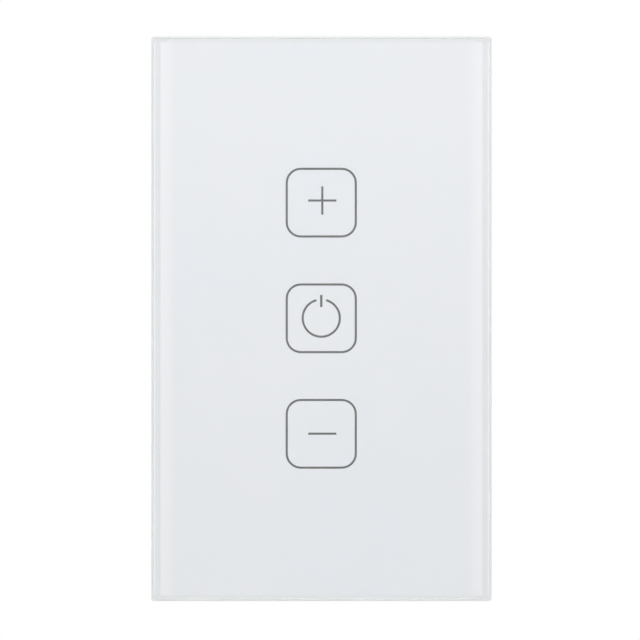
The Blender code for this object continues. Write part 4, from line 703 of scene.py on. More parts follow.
# %% Painted highlight along the tape's outer edge
# A pale strip over the carrier's rounded rim: a painted highlight, which also hides the shade on that rim.
HIGHLIGHT_STRIP_FRONT = TAPE_FRONT - 0.01
painted_highlight_strip, tree, shader, place = substance("painted_highlight_strip", "F5F6F8", 0.3, IOR=1.47)
mottle(tree, shader, place, 2.5 * MM, ("F3F4F6", "F7F8FA"), (0.25, 0.35))
relief(tree, shader, place, 0.5 * MM, 0.002 * MM, 0.01 * MM)
bm = bmesh.new()
for side in (-1, 1):
    outline = oblong((side * (tape_edge + TAPE_SETBACK / 2), 0), TAPE_SETBACK, film_height)
    plate(bm, outline, HIGHLIGHT_STRIP_FRONT, TAPE_REAR)
piece("painted_highlight_lines", bm, painted_highlight_strip, "front_panel")

# %% [markdown]
# ## Screw threads
# A thread is a ridge that winds round the shank with a pointed crest. A helix of triangles, three points to
# each step, gives the real form with few faces, and it runs out over half a turn at each end as a rolled
# thread does. The clamp screws carry a 0.6 mm pitch, so one turn lifts the cage by 0.6 mm. The same helper
# with its crest inwards makes the tapped holes in the strap.

# %% Thread helper
RIDGE_SHARE = 0.4  # half the foot of the ridge, as a share of the pitch
LEAST_SWELL = 0.15  # height at the very ends of a run-out, as a share of the full height


def thread(bm, centre, root, crest, pitch, near, far, steps=24):
    """A helical ridge from root to crest, round an axis into the wall."""
    count = round((far - near) / pitch * steps)
    rows = []
    for i in range(count + 1):
        angle = 2 * math.pi * i / steps
        swell = max(LEAST_SWELL, min(1.0, 2 * i / steps, 2 * (count - i) / steps))
        depth, half = near + pitch * i / steps, RIDGE_SHARE * pitch
        ridge = ((root, depth - half), (root + (crest - root) * swell, depth), (root, depth + half))
        way_x, way_z = math.cos(angle), math.sin(angle)
        points = [Vector((centre[0] + r * way_x, y, centre[1] + r * way_z)) for r, y in ridge]
        rows.append([bm.verts.new(point * MM) for point in points])
    for here, there in zip(rows, rows[1:]):
        for k in range(3):
            bm.faces.new((here[k], here[(k + 1) % 3], there[(k + 1) % 3], there[k]))
    bm.faces.new(rows[0])
    bm.faces.new(rows[-1][::-1])


print("a ridge takes up", 2 * RIDGE_SHARE, "of its pitch")

# %% Threads of the screws and the strap
# Each is a root radius, a crest radius and a pitch.
CLAMP_THREAD, HOUSING_THREAD, TAPPED_THREAD = (1.72, 1.87, 0.6), (1.17, 1.42, 1.0), (1.53, 1.3, 0.5)
TIP, HEAD = 0.5, 2.6
for number in range(1, 5):
    low, high = span(f"terminal_screw_{number}")
    bm = bmesh.new()
    thread(bm, middle_of(f"terminal_screw_{number}"), *CLAMP_THREAD, low[1] + TIP, high[1] - HEAD)
    piece(f"clamp_thread_{number}", bm, zinc_plate, f"clamp_screw_{number}", 50)

HOUSING_HEAD, HOUSING_TIP = 1.9, 2.6
bm = bmesh.new()
for number in range(1, 5):
    low, high = span(f"housing_screw_{number}")
    near, far = low[1] + HOUSING_HEAD, high[1] - HOUSING_TIP
    thread(bm, middle_of(f"housing_screw_{number}"), *HOUSING_THREAD, near, far, 16)
piece("housing_screw_threads", bm, zinc_plate, smooth=50)

TAPPED_HEIGHT, TAPPED_NEAR, TAPPED_FAR = 48.4, -1.0, -0.2
bm = bmesh.new()
for side in (-1, 1):
    thread(bm, (0, side * TAPPED_HEIGHT), *TAPPED_THREAD, TAPPED_NEAR, TAPPED_FAR)
piece("strap_threads", bm, galvanised, smooth=50)

# %% [markdown]
# ## Score lines on the strap
# The outer corners of the strap snap off along a scored line, so that the strap fits between tiles. The
# score is a pressed groove a few tenths wide. The solid stays uncut, so a thin dark plate on each face of the
# sheet stands in for the groove, and its dark tone is painted shade of the groove.

# %% Score lines
# A dark zinc tone: painted shade for grooves that are not cut, on the strap's score lines and the capacitor's
# vent cross.
groove_shade_zinc = plated("painted_groove_shade_zinc", ("85888A", "989B9D"), 0.5, 0.8, 0.2, 0.01)
SCORE_HEIGHT, SCORE_WIDTH, SCORE_PROUD = 45.5, 0.18, 0.01
SCORE_RUNS = ((10.2, 12.3), (15.0, 17.0), (19.8, 21.8))
EAR_FACES = (0.0, -1.2)
bm = bmesh.new()
for side in (-1, 1):
    for end in (-1, 1):
        for face in EAR_FACES:
            for near, far in SCORE_RUNS:
                centre = (side * (near + far) / 2, end * SCORE_HEIGHT)
                plate(bm, oblong(centre, far - near, SCORE_WIDTH), face - SCORE_PROUD, face + SCORE_PROUD)
piece("score_lines", bm, groove_shade_zinc)

# %% [markdown]
# ## Marks of the mould
# A moulding shows where its tool met. The flow enters at a gate, which leaves a small round scar in a ring,
# and ejector pins leave shallow discs with a raised rim. They are only hundredths of a millimetre high, yet
# they catch the light and tell the eye that this is moulded plastic. A taller bar beside the terminals,
# with a foot and a head, is a gauge for how much insulation to strip. The marks are turned shapes set into
# the housing's face, and the gauge is a plate, since a bump map has no edge that the light could catch.

# %% Mould marks
REAR_FACE = span("rear_housing")[1][1]
GATE = (0, -12.5)
PIN_X, PIN_HEIGHTS = 16.0, (-14.5, 29.5)
MARK_SUNK = 0.02
GATE_SCAR = ((0, -0.2), (0.9, -0.2), (0.8, 0.03), (0, 0.04))
GATE_RIM, PIN_RIM = (2.35, 0.15, 0.02), (2.4, 0.1, 0.015)


def rim(middle, half, rise):
    """The profile of a low ring on the rear face, from its middle radius, half width and height."""
    foot = REAR_FACE - MARK_SUNK
    return [(middle - half, foot), (middle, REAR_FACE + rise), (middle + half, foot)]


bm = bmesh.new()
turned(bm, [(radius, REAR_FACE + proud) for radius, proud in GATE_SCAR], GATE)
turned(bm, rim(*GATE_RIM), GATE, 40)
for side in (-1, 1):
    for z in PIN_HEIGHTS:
        turned(bm, rim(*PIN_RIM), (side * PIN_X, z), 40)
piece("mould_marks", bm, housing_white, smooth=40)

# %% Strip gauge
BAY_FACE = 21.5
GAUGE_X, GAUGE_LOW, STRIP_LENGTH = 18.6, -33.6, 8.0
HEAD_HALF, STEM_HALF, HEAD_THICK = 1.2, 0.25, 0.5
GAUGE_SUNK, GAUGE_PROUD = 0.1, 0.2
shoulder = STRIP_LENGTH - HEAD_THICK
right = [(HEAD_HALF, 0), (HEAD_HALF, HEAD_THICK), (STEM_HALF, HEAD_THICK)]
right += [(STEM_HALF, shoulder), (HEAD_HALF, shoulder), (HEAD_HALF, STRIP_LENGTH)]
outline = right + [(-a, b) for a, b in reversed(right)]
bm = bmesh.new()
outline = [(GAUGE_X + a, GAUGE_LOW + b) for a, b in outline]
plate(bm, outline, BAY_FACE - GAUGE_SUNK, BAY_FACE + GAUGE_PROUD)
piece("strip_gauge", bm, housing_white)

# %% [markdown]
# ## Pads, spring joints and LEDs
# Each spring stands on a gold-plated ring and is held by a fillet of solder, and a small LED sits in its
# middle between two solder joints of its own. Under its clear lens lies a disc of yellow phosphor, which
# turns blue light to white. Rings, fillets and discs are all bodies of revolution, so each is a short
# profile turned round the middle of its LED. Gold, bright solder and dark resin side by side are what make
# a board look like one.

# %% Pads, spring joints and LEDs
board_low, board_high = span("touch_board")
FRONT_COPPER, REAR_COPPER = board_low[1], board_high[1]
COPPER = 0.03
PAD_INNER, PAD_OUTER = 2.5, 3.95
LED_PITCH, LED_JOINT = 1.35, (0.9, 0.5, 0.4)  # half width, length and height of an LED's solder joint
KEY_MIDDLES = {key: middle_of(f"indicator_led_{key}")[1] for key in KEY_HEIGHTS}

phosphor, tree, shader, place = substance("led_phosphor", "E8C93A", 0.4, IOR=1.45)
mottle(tree, shader, place, 0.5 * MM, ("E0BE2E", "EDD04A"), (0.35, 0.5))
relief(tree, shader, place, 0.08 * MM, 0.004 * MM)

ring = [(PAD_INNER, 0), (PAD_INNER, COPPER), (PAD_OUTER, COPPER), (PAD_OUTER, 0)]
ring = [(radius, FRONT_COPPER - proud) for radius, proud in ring]
FILLET = ((2.75, 0), (2.95, 0.22), (3.2, 0.32), (3.45, 0.22), (3.65, 0))
fillet = [(radius, FRONT_COPPER - proud) for radius, proud in FILLET]
lens_front = span("indicator_led_middle")[0][1]
DISC = ((0, -0.1), (0.8, -0.1), (0.78, 0.03), (0, 0.05))
disc = [(radius, lens_front - proud) for radius, proud in DISC]
pads, joints, dots = bmesh.new(), bmesh.new(), bmesh.new()
half, length, height = LED_JOINT
for middle in KEY_MIDDLES.values():
    turned(pads, ring, (0, middle), 48)
    turned(joints, fillet, (0, middle), 48)
    for side in (-1, 1):
        low, high = sorted((middle + side * LED_PITCH, middle + side * (LED_PITCH + length)))
        block(joints, (-half, FRONT_COPPER - height, low), (half, FRONT_COPPER, high))
    turned(dots, disc, (0, middle))
piece("touch_pads", pads, gold_pad)
piece("spring_joints", joints, solder, smooth=40)
piece("led_phosphors", dots, phosphor, smooth=40)

# %% [markdown]
# ## Legs of the touch chip and the header
# The touch chip stands on gull-wing legs: each comes out of its side, bends down and ends in a flat foot on
# the board. It is cut from flat sheet, so its bent side view, given a width, is the whole leg. The header's
# five pins are soldered by flat feet that point up and down in turn.

# %% Legs of the touch chip
LEG_PITCH, LEG_WIDTH, LEG_SHEET, LEG_REACH = 1.27, 0.42, 0.16, 1.0
LEG_ROOT, LEG_SUNK, BEND = 0.95, 0.05, 0.12
KNEE, HEEL = 0.3, 0.5  # where the leg bends down and out again, as shares of its reach
chip_low, chip_high = span("touch_chip")
leg_xs = [(i - 3.5) * LEG_PITCH for i in range(8)]


def gull_leg(bm, x, z, side):
    """One bent leg from the chip's side at z down to the board. side is 1 for up and -1 for down."""
    top, low = REAR_COPPER + LEG_ROOT, REAR_COPPER + LEG_SHEET / 2
    middle = [(top, 0), (top, KNEE * LEG_REACH), (low, HEEL * LEG_REACH), (low, LEG_REACH)]
    outline = [(y - LEG_SHEET / 2, z + side * a) for y, a in middle]
    for y, a in reversed(middle):
        bend = BEND if 0 < a < LEG_REACH else 0
        outline.append((y + LEG_SHEET / 2, z + side * (a + bend)))
    plate(bm, outline, x - LEG_WIDTH / 2, x + LEG_WIDTH / 2, side_plane)


bm = bmesh.new()
for x in leg_xs:
    gull_leg(bm, x, chip_high[2] - LEG_SUNK, 1)
    gull_leg(bm, x, chip_low[2] + LEG_SUNK, -1)
piece("touch_chip_legs", bm, tinned_wire)

# %% Feet of the header
HEADER_PITCH, FOOT_HALF, FOOT_HEIGHT = 2.54, 0.32, 0.25
FOOT_UNDER, FOOT_OUT = 0.3, 1.3
header_low, header_high = span("board_header")
pin_xs = [(i - 2) * HEADER_PITCH for i in range(5)]
bm = bmesh.new()
for i, x in enumerate(pin_xs):
    side, edge = (1, header_high[2]) if i % 2 else (-1, header_low[2])
    low, high = sorted((edge - side * FOOT_UNDER, edge + side * FOOT_OUT))
    block(bm, (x - FOOT_HALF, REAR_COPPER, low), (x + FOOT_HALF, REAR_COPPER + FOOT_HEIGHT, high))
piece("header_feet", bm, solder)

# %% [markdown]
# ## Tracks
# Copper tracks under the solder mask stand 0.03 mm proud and look a lighter green, because the copper
# shines through the mask. A texture could draw them, but then they would have no edge. One helper lays a
# track of a given width along a path, with mitred corners. From the header they run to the chip above its
# legs, and from the legs below they fan out in steps to both sides.

# %% Track finish and helper
masked_copper, tree, shader, place = substance("masked_copper_track", "2C6E48", 0.32, IOR=1.55)
mottle(tree, shader, place, 1.5 * MM, ("28683F", "327A50"), (0.28, 0.36))
relief(tree, shader, place, 0.3 * MM, 0.004 * MM)
LEAST_COSINE = 0.4  # a mitre grows no longer than one over this


def track(bm, path, width, near, far):
    """A flat track of one width along a path of x and z."""
    path = [Vector(point) for point in path]
    legs = [(b - a).normalized() for a, b in zip(path, path[1:])]
    left, right = [], []
    for point, before, after in zip(path, legs[:1] + legs, legs + legs[-1:]):
        along = (before + after).normalized()
        normal = Vector((-along.y, along.x)) * (width / 2 / max(LEAST_COSINE, along.dot(before)))
        left.append(tuple(point + normal))
        right.append(tuple(point - normal))
    strip(bm, left, right, near, far, closed=False)


print("masked copper stands", COPPER, "mm proud")

# %% Tracks of the touch board
TRACK, TRACK_STEP = 0.3, 0.7
LEG_FOOT, PIN_FOOT = 0.9, 0.8
PIN_LEGS = (0, 2, 3, 5, 7)  # the leg that each pin of the header goes to
BEND_HIGH, BEND_LOW = 18.4, 16.8
FAN_TOP, FAN_SIDE, MODULE_SIDE, MODULE_FOOT, MODULE_STEP = 7.6, 12.4, 9.5, -7.5, 2.0
bm = bmesh.new()
for pin, leg in zip(pin_xs, PIN_LEGS):
    x = leg_xs[leg]
    path = [(pin, header_low[2] - PIN_FOOT), (pin, BEND_HIGH), (x, BEND_LOW)]
    path.append((x, chip_high[2] + LEG_FOOT))
    track(bm, path, TRACK, REAR_COPPER, REAR_COPPER + COPPER)
for side in (-1, 1):
    for k in range(4):
        x, column = side * leg_xs[7 - k], side * (FAN_SIDE - TRACK_STEP * k)
        turn, end = FAN_TOP - TRACK_STEP * k, MODULE_FOOT + MODULE_STEP * k
        path = [(x, chip_low[2] - LEG_FOOT), (x, turn), (column, turn), (column, end)]
        path.append((side * MODULE_SIDE, end))
        track(bm, path, TRACK, REAR_COPPER, REAR_COPPER + COPPER)
piece("touch_board_tracks", bm, masked_copper)

# %% [markdown]
# ## Surface-mounted parts
# Resistors are flat black chips with tinned ends, and ceramic capacitors are tan blocks of fired clay-like
# ceramic. Both come in standard sizes such as 1.6 by 0.8 mm. Each is three blocks: a body and two ends that
# wrap a little round it. The bodies and ends go into shared meshes, so a whole board of them is three
# pieces.

# %% Surface-mounted parts
ceramic_tan = moulded("fired_ceramic", ("A88E6C", "B79D7B"), 0.42, 0.12, 0.004, 1.6)
WRAP = 0.02
# The body and the ends reach this far from the middle, as shares of the length.
LEFT_END, MIDDLE_BODY, RIGHT_END = (-0.5, -0.3), (-0.32, 0.32), (0.3, 0.5)


def mounted(bodies, ends, centre, along_x, size, seat, away):
    """A part with a metal end on both sides. away is 1 on the rear of the board and -1 on its front."""
    length, width, height = size
    depths = sorted((seat, seat + away * height))
    for reach, bm, grow in ((LEFT_END, ends, WRAP), (RIGHT_END, ends, WRAP), (MIDDLE_BODY, bodies, 0)):
        a = (reach[0] * length, reach[1] * length)
        b = (-width / 2 - grow, width / 2 + grow)
        across_x, across_z = (a, b) if along_x else (b, a)
        block(
            bm,
            (centre[0] + across_x[0], depths[0] - grow, centre[1] + across_z[0]),
            (centre[0] + across_x[1], depths[1] + grow, centre[1] + across_z[1]),
        )


SMALL, LARGE = (1.6, 0.8, 0.45), (2.0, 1.25, 0.85)
BEHIND, BEFORE = (REAR_COPPER + COPPER, 1), (FRONT_COPPER - COPPER, -1)
PULL_UP_X, PULL_UP_ROWS = 9.0, (10.0, 12.0, 14.0, 16.0)
MODULE_FILTER_X, MODULE_FILTER_ROWS = 12.2, (-12.5, -15.5, -18.5)
KEY_RESISTOR_X, KEY_FILTER_X = 9.4, 11.4
SUPPLY_FILTER_COLUMNS, SUPPLY_FILTER_Z = (-11.0, -9.0, 9.0, 11.0), 22.5
resistors, ceramics, ends = bmesh.new(), bmesh.new(), bmesh.new()
for side in (-1, 1):
    for z in PULL_UP_ROWS:
        mounted(resistors, ends, (side * PULL_UP_X, z), True, SMALL, *BEHIND)
    for z in MODULE_FILTER_ROWS:
        mounted(ceramics, ends, (side * MODULE_FILTER_X, z), False, LARGE, *BEHIND)
    for z in KEY_MIDDLES.values():
        mounted(resistors, ends, (side * KEY_RESISTOR_X, z), False, SMALL, *BEFORE)
        mounted(ceramics, ends, (side * KEY_FILTER_X, z), False, SMALL, *BEFORE)
for x in SUPPLY_FILTER_COLUMNS:
    mounted(ceramics, ends, (x, SUPPLY_FILTER_Z), False, LARGE, *BEHIND)
piece("chip_resistors", resistors, black_resin)
piece("chip_capacitors", ceramics, ceramic_tan)
piece("chip_part_ends", ends, solder)

# %% [markdown]
# ## Radio module
# The radio is a small board of its own, soldered along both edges by half round holes that fill with
# solder. Its aerial is a meander of bare, gold-plated copper beyond the shielding can, folded up so that a
# long conductor fits a short edge. The joints are eased blocks that lap over the edge, and the aerial is
# one more track.

# %% Radio module: edge joints and aerial
JOINTS, JOINT_PITCH, FIRST_JOINT = 9, 2.0, 3.0
JOINT_HALF, JOINT_OUT, JOINT_PROUD, JOINT_EASE = 0.45, 0.5, 0.04, 0.15
radio_low, radio_high = span("radio_module")
bm = bmesh.new()
for side in (-1, 1):
    for i in range(JOINTS):
        z = radio_low[2] + FIRST_JOINT + JOINT_PITCH * i
        low, high = sorted((side * (radio_high[0] - JOINT_OUT), side * (radio_high[0] + JOINT_OUT)))
        near, far = REAR_COPPER, radio_high[1] + JOINT_PROUD
        block(bm, (low, near, z - JOINT_HALF), (high, far, z + JOINT_HALF), JOINT_EASE)
piece("module_edge_joints", bm, solder)

AERIAL_START, AERIAL_END, AERIAL_FOOT = -6.6, 7.4, -2.6
AERIAL_LOW, AERIAL_HIGH, AERIAL_STEP, AERIAL_WIDTH = -1.6, 1.8, 2.1, 0.5
aerial = [(AERIAL_START, AERIAL_FOOT)]
for i in range(7):
    x = AERIAL_START + AERIAL_STEP * i
    ends_of_leg = [(x, AERIAL_LOW), (x, AERIAL_HIGH)]
    aerial += ends_of_leg if i % 2 == 0 else reversed(ends_of_leg)
aerial.append((AERIAL_END, AERIAL_HIGH))
bm = bmesh.new()
track(bm, aerial, AERIAL_WIDTH, radio_high[1], radio_high[1] + COPPER)
piece("printed_aerial", bm, gold_pad)

# %% [markdown]
# ## Power board
# Leads come through this board and are soldered on its front, where each joint is a small cone that has
# wetted up its lead. The joints are placed from the parts on the other face and the spacing of their leads,
# so every cone stands where a lead comes through. Mains tracks are broad, with wide gaps between them, and
# run from the four current bars to the parts that they feed.

# %% Solder cones
SOLDER_SIDE = span("power_board")[0][1]
# How far each lead of a part lies from the part's middle, along x and z.
LEAD_OFFSETS = {
    "fuse": [(-2.5, 0), (2.5, 0)],
    "varistor": [(-2.5, 0), (2.5, 0)],
    "film_capacitor": [(-7.5, 0), (7.5, 0)],
    "choke_core": [(-2.5, 0), (2.5, 0)],
    "transformer_core": [(x, z) for x in (-2.5, 0, 2.5) for z in (-4.5, 4.5)],
    "bridge_rectifier": [(x, 0) for x in (-3.5, -1.5, 1.5, 3.5)],
    "electrolytic_capacitor": [(-1.75, 0), (1.75, 0)],
    "power_transistor_1": [(x, -0.6) for x in (-2.54, 0, 2.54)],
    "power_transistor_2": [(x, -0.6) for x in (-2.54, 0, 2.54)],
}
CONE = ((0, 0), (0.95, 0), (0.5, 0.35), (0.32, 0.8), (0, 0.9))
cone = [(radius, SOLDER_SIDE - proud) for radius, proud in CONE]
leads = {}
bm = bmesh.new()
for part, offsets in LEAD_OFFSETS.items():
    x, z = middle_of(part)
    leads[part] = [(x + across, z + up) for across, up in offsets]
    for lead in leads[part]:
        turned(bm, cone, lead, 14)
piece("solder_cones", bm, solder, smooth=50)

# %% Mains tracks
MAINS_TRACK, MAINS_PROUD = 1.9, 0.05
BAR_PIN = 0.4  # how far the pin of a current bar stands below the bar's upper end
bars = [(middle_of(f"current_bar_{n}")[0], span(f"current_bar_{n}")[1][2] - BAR_PIN) for n in range(1, 5)]
fuse, film, bridge = leads["fuse"], leads["film_capacitor"], leads["bridge_rectifier"]
varistor, choke, reservoir = leads["varistor"], leads["choke_core"], leads["electrolytic_capacitor"]
MAINS_PATHS = (
    [bars[0], (-11.5, -21.5), fuse[1]],
    [fuse[0], (-16.95, -13.5), film[0], (-16.95, 0.0), (-9.3, 6.5), leads["power_transistor_1"][0]],
    [bars[1], (-1.95, -18.0), film[1], (-1.95, 3.0), (-1.0, 8.0), bridge[0]],
    [bars[2], (5.0, -14.0), (5.0, 4.0), (6.0, 8.0), bridge[3]],
    [bars[3], varistor[0], choke[0], (11.2, 2.0), (12.45, 6.0), reservoir[0]],
)
bm = bmesh.new()
for path in MAINS_PATHS:
    track(bm, path, MAINS_TRACK, SOLDER_SIDE - MAINS_PROUD, SOLDER_SIDE)
piece("mains_tracks", bm, masked_copper)

# %% [markdown]
# ## Choke winding
# The choke is a ferrite bobbin wound with enamelled copper, and turns of real wire look quite unlike a
# smooth copper ring. So the plain winding of the solid model is replaced by one continuous helix of 0.6 mm
# wire, turn against turn. A bevelled curve could do it, but a ring of points swept along the helix gives a
# closed mesh straight away. A plain core inside keeps the eye from looking through between the turns.

# %% Choke wire
def wire(bm, path, radius, sides=8):
    """A round wire along a path of points, in millimetres."""
    angles = [2 * math.pi * k / sides for k in range(sides)]
    rings = []
    for i, point in enumerate(path):
        ahead = (path[min(i + 1, len(path) - 1)] - path[max(i - 1, 0)]).normalized()
        across = ahead.cross(Vector((0, 1, 0))).normalized()
        up = across.cross(ahead)
        ring = [point + radius * (math.cos(a) * across + math.sin(a) * up) for a in angles]
        rings.append([bm.verts.new(corner * MM) for corner in ring])
    for here, there in zip(rings, rings[1:]):
        for k in range(sides):
            bm.faces.new((here[k], here[(k + 1) % sides], there[(k + 1) % sides], there[k]))
    bm.faces.new(rings[0])
    bm.faces.new(rings[-1][::-1])


WIRE_RADIUS, WIRE_AIR = 0.3, 0.98
TURN_STEPS = 28
CORE_INSET = 0.05
coil_low, coil_high = span("choke_winding")
coil_centre = middle_of("choke_winding")
coil_radius = (coil_high[0] - coil_low[0]) / 2 - WIRE_RADIUS
turns = (coil_high[1] - coil_low[1] - 2 * WIRE_RADIUS) / (2 * WIRE_RADIUS)
path = []
for i in range(round(turns * TURN_STEPS) + 1):
    x, z = arc(coil_centre, coil_radius, 360 * i / TURN_STEPS, 0, 1)[0]
    path.append(Vector((x, coil_low[1] + WIRE_RADIUS + 2 * WIRE_RADIUS * i / TURN_STEPS, z)))
near, far = coil_low[1] + CORE_INSET, coil_high[1] - CORE_INSET
bm = bmesh.new()
wire(bm, path, WIRE_RADIUS * WIRE_AIR)
turned(bm, [(0, near), (coil_radius, near), (coil_radius, far), (0, far)], coil_centre, TURN_STEPS)
choke_turns = piece("choke_turns", bm, copper_wire, smooth=60)
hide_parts("choke_winding")
print(round(turns, 1), "turns of wire")

# %% [markdown]
# ## Capacitor top and heat pads
# The electrolytic capacitor shows its bare can in the middle of its top, where the sleeve ends. The can is
# pressed with a cross that lets it vent, drawn as thin dark plates whose tone is painted shade of its
# grooves, and a pale stripe printed on the sleeve marks the negative side.
# The two power transistors sit on grey silicone pads, which carry their heat to the aluminium sink without
# touching it electrically. These are thin plates and a turned disc, all placed from the solids that carry
# them.

# %% Capacitor can and its vent cross
CAN_RADIUS, CAN_PROUD, CAN_SUNK, CAN_BEVEL = 3.1, 0.03, 0.1, 0.05
CROSS_LENGTH, CROSS_WIDTH, CROSS_DEPTH = 4.6, 0.22, 0.015
can_low, can_high = span("electrolytic_capacitor")
can_centre = middle_of("electrolytic_capacitor")
can_top = can_high[1] + CAN_PROUD
can_foot = can_high[1] - CAN_SUNK
disc = [(0, can_foot), (CAN_RADIUS, can_foot), (CAN_RADIUS - CAN_BEVEL, can_top), (0, can_top)]
bm = bmesh.new()
turned(bm, disc, can_centre, 40)
piece("capacitor_can_top", bm, aluminium, smooth=40)

# The vent cross is thin dark plates on the can's top: painted shade of the pressed grooves.
arm = (CROSS_LENGTH - CROSS_WIDTH) / 2
bm = bmesh.new()
plate(bm, oblong(can_centre, CROSS_LENGTH, CROSS_WIDTH), can_top, can_top + CROSS_DEPTH)
for side in (-1, 1):
    centre = (can_centre[0], can_centre[1] + side * (CROSS_WIDTH + arm) / 2)
    plate(bm, oblong(centre, CROSS_WIDTH, arm), can_top, can_top + CROSS_DEPTH)
piece("capacitor_vent_cross", bm, groove_shade_zinc)

# %% Stripe on the sleeve
STRIPE_START, STRIPE_END = 160, 205  # degrees round the sleeve
STRIPE_FOOT, STRIPE_TOP = 2.9, 0.8  # what the stripe leaves free at each end of the sleeve
STRIPE_PROUD, STRIPE_SUNK = 0.03, 0.02
sleeve_print, tree, shader, place = substance("pale_sleeve_print", "B9BDC4", 0.4)
mottle(tree, shader, place, 1.5 * MM, ("B2B6BD", "C0C4CB"), (0.35, 0.45))
relief(tree, shader, place, 0.3 * MM, 0.004 * MM)
sleeve_radius = (can_high[0] - can_low[0]) / 2
radii = (sleeve_radius + STRIPE_PROUD, sleeve_radius - STRIPE_SUNK)
stripe = [arc(can_centre, radius, STRIPE_START, STRIPE_END, 10) for radius in radii]
bm = bmesh.new()
strip(bm, *stripe, can_low[1] + STRIPE_FOOT, can_high[1] - STRIPE_TOP, closed=False)
piece("polarity_stripe", bm, sleeve_print, smooth=40)

# %% Heat pads
PAD_MARGIN, PAD_REAR, PAD_FRONT = 0.6, 0.1, 1.6
PAD_NEAR, PAD_FAR, PAD_EASE = 0.01, 0.29, 0.05
heat_pad = moulded("silicone_heat_pad", ("8E9498", "9AA0A4"), 0.6, 0.3, 0.01, 1.42)
bm = bmesh.new()
for number in (1, 2):
    low, high = span(f"power_transistor_{number}")
    near_corner = (low[0] - PAD_MARGIN, low[1] + PAD_FRONT, high[2] + PAD_NEAR)
    far_corner = (high[0] + PAD_MARGIN, high[1] - PAD_REAR, high[2] + PAD_FAR)
    block(bm, near_corner, far_corner, PAD_EASE)
piece("heat_pads", bm, heat_pad)

# %% [markdown]
# ## Light
# A product shot on white is lit by very large soft sources, so that no highlight has an edge. Here the
# world gives an even fill, and three area lamps add the rest. A broad one above and in front makes the top
# of the panel a little lighter than its foot, a weaker one fills from low in front, and one behind lights
# the housing in the views from the back. The world looks pure white to the camera and in reflections, but
# lights the object more gently: were it as bright as it looks, the pale panel would lose its tones.

# %% World
FILL, WHITE = 0.42, 1.0
world = bpy.data.worlds.new("white_studio")
bpy.context.scene.world = world
world.use_nodes = True
tree = world.node_tree
tree.nodes.clear()
rays = add(tree, "ShaderNodeLightPath")
mirror_ways = add(
    tree,
    "ShaderNodeMath",
    links={0: (rays, "Is Glossy Ray"), 1: (rays, "Is Transmission Ray")},
    operation="MAXIMUM",
)
seen = add(
    tree,
    "ShaderNodeMath",
    links={0: (mirror_ways, "Value"), 1: (rays, "Is Camera Ray")},
    operation="MAXIMUM",
)
fill = add(tree, "ShaderNodeBackground", {"Color": (1, 1, 1, 1), "Strength": FILL})
white = add(tree, "ShaderNodeBackground", {"Color": (1, 1, 1, 1), "Strength": WHITE})
mixed = add(
    tree,
    "ShaderNodeMixShader",
    links={0: (seen, "Value"), 1: (fill, "Background"), 2: (white, "Background")},
)
add(tree, "ShaderNodeOutputWorld", links={"Surface": (mixed, "Shader")})
print("fill light", FILL, "while the eye sees", WHITE)

# %% Lamps
def area_lamp(name, place, target, size, power, colour):
    """A rectangular softbox at a place, turned to a target. Sizes in metres, power in watts."""
    light = bpy.data.lights.new(name, "AREA")
    light.shape = "RECTANGLE"
    light.size, light.size_y = size
    light.energy = power
    light.color = linear(colour)[:3]
    lamp = bpy.data.objects.new(name, light)
    lamp.location = place
    lamp.rotation_mode = "QUATERNION"
    lamp.rotation_quaternion = (Vector(target) - Vector(place)).to_track_quat("-Z", "Y")
    lamp.visible_camera = False
    bpy.context.scene.collection.objects.link(lamp)
    print(name, round((Vector(target) - Vector(place)).length, 2), "m away,", power, "W")


area_lamp("high_softbox", (0.0, -0.6, 0.42), (0, 0, 0.04), (0.8, 0.36), 3.4, "FFF8FC")
area_lamp("low_softbox", (0.0, -1.1, -0.5), (0, 0, 0), (1.4, 0.5), 2.0, "EAFFF7")
area_lamp("rear_softbox", (0.5, 1.1, 0.5), (0, 0, 0), (1.2, 0.9), 6.0, "FFFFFF")

# %% [markdown]
# ## Floor
# The floor is a board painted matt white. Near the dimmer it is lit by the lamps and keeps a soft shadow.
# Further out it would turn grey and end in a visible horizon, so it fades to plain white with a glow that
# grows with the distance. The glow shows to the eye, and at half strength in what the glass mirrors, but
# lights nothing else. From below the floor is left clear, so that the underside of the dimmer can be seen.

# %% Floor paint
FADE_START, FADE_END = 0.2, 0.5
LEAST_GLOW, MIRRORED = 0.3, 0.5
GRAIN_WIDTH, GRAIN_DEPTH = 0.4 * MM, 0.02 * MM
floor_paint, tree, shader, place = substance("white_floor_paint", "F4F4F4", 0.9)
grain = add(tree, "ShaderNodeTexNoise", {"Scale": 1 / GRAIN_WIDTH}, {"Vector": (place, "Object")})
rough = add(tree, "ShaderNodeBump", {"Strength": 0.2, "Distance": GRAIN_DEPTH}, {"Height": (grain, "Fac")})
tree.links.new(rough.outputs["Normal"], shader.inputs["Normal"])
rays = add(tree, "ShaderNodeLightPath")
from_middle = add(tree, "ShaderNodeVectorMath", links={0: (place, "Object")}, operation="LENGTH")
fade = add(
    tree,
    "ShaderNodeMapRange",
    {"From Min": FADE_START, "From Max": FADE_END, "To Min": LEAST_GLOW, "To Max": 1.0},
    {"Value": (from_middle, "Value")},
)
eye_or_mirror = add(
    tree,
    "ShaderNodeMath",
    {1: MIRRORED},
    {0: (rays, "Is Glossy Ray"), 2: (rays, "Is Camera Ray")},
    operation="MULTIPLY_ADD",
)
seen_glow = add(
    tree, "ShaderNodeMath", links={0: (fade, "Result"), 1: (eye_or_mirror, "Value")}, operation="MULTIPLY"
)
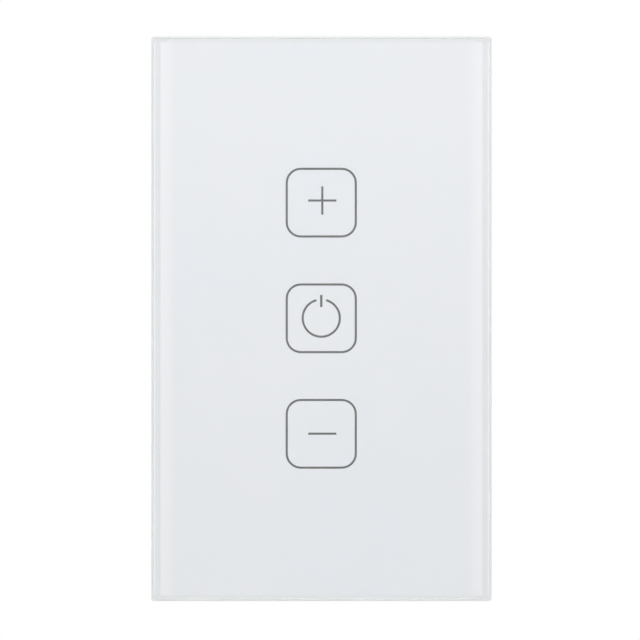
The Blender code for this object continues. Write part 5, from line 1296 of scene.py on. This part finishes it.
glow = add(tree, "ShaderNodeEmission", {"Color": (1, 1, 1, 1)}, {"Strength": (seen_glow, "Value")})
glowing = add(tree, "ShaderNodeAddShader", links={0: (shader, "BSDF"), 1: (glow, "Emission")})
under = add(tree, "ShaderNodeNewGeometry")
unseen = add(tree, "ShaderNodeBsdfTransparent")
one_sided = add(
    tree,
    "ShaderNodeMixShader",
    links={0: (under, "Backfacing"), 1: (glowing, "Shader"), 2: (unseen, "BSDF")},
)
surface = next(n for n in tree.nodes if n.type == "OUTPUT_MATERIAL")
tree.links.new(one_sided.outputs["Shader"], surface.inputs["Surface"])
print("floor fades to white between", FADE_START, "and", FADE_END, "m from the middle of the dimmer")

# %% Floor
FLOOR_Z, FLOOR_WIDTH = -0.16, 1.6
bm = bmesh.new()
bm.faces.new([bm.verts.new((x, y, FLOOR_Z)) for x, y in oblong((0, 0), FLOOR_WIDTH, FLOOR_WIDTH)])
mesh = bpy.data.meshes.new("floor")
bm.to_mesh(mesh)
bm.free()
mesh.materials.append(floor_paint)
floor = bpy.data.objects.new("floor", mesh)
bpy.context.scene.collection.objects.link(floor)
print("floor", FLOOR_WIDTH, "m wide,", -FLOOR_Z, "m below the middle of the dimmer")

# %% [markdown]
# ## Camera
# The camera stands square on, as in the photograph, and a long focal length keeps the sides of the panel
# from leaning. Its distance comes from the width that the picture shows at the face of the glass, 640
# pixels at 4.71 to the millimetre, and small shifts put the panel where it stands in the photograph.

# %% Camera
VIEW_WIDTH = 135.88 * MM
SHIFT_X, SHIFT_Z = -0.32 * MM, -0.28 * MM
camera_data = bpy.data.cameras.new("square_on")
camera_data.lens = 200.0
camera_data.sensor_width = 36.0
camera = bpy.data.objects.new("square_on", camera_data)
distance = VIEW_WIDTH * camera_data.lens / camera_data.sensor_width
camera.location = (SHIFT_X, glass_front - distance, SHIFT_Z)
camera.rotation_euler = (math.radians(90), 0, 0)
bpy.context.scene.collection.objects.link(camera)
bpy.context.scene.camera = camera
bpy.context.scene.view_settings.view_transform = "Standard"
print("camera", round(distance, 4), "m in front of the glass")
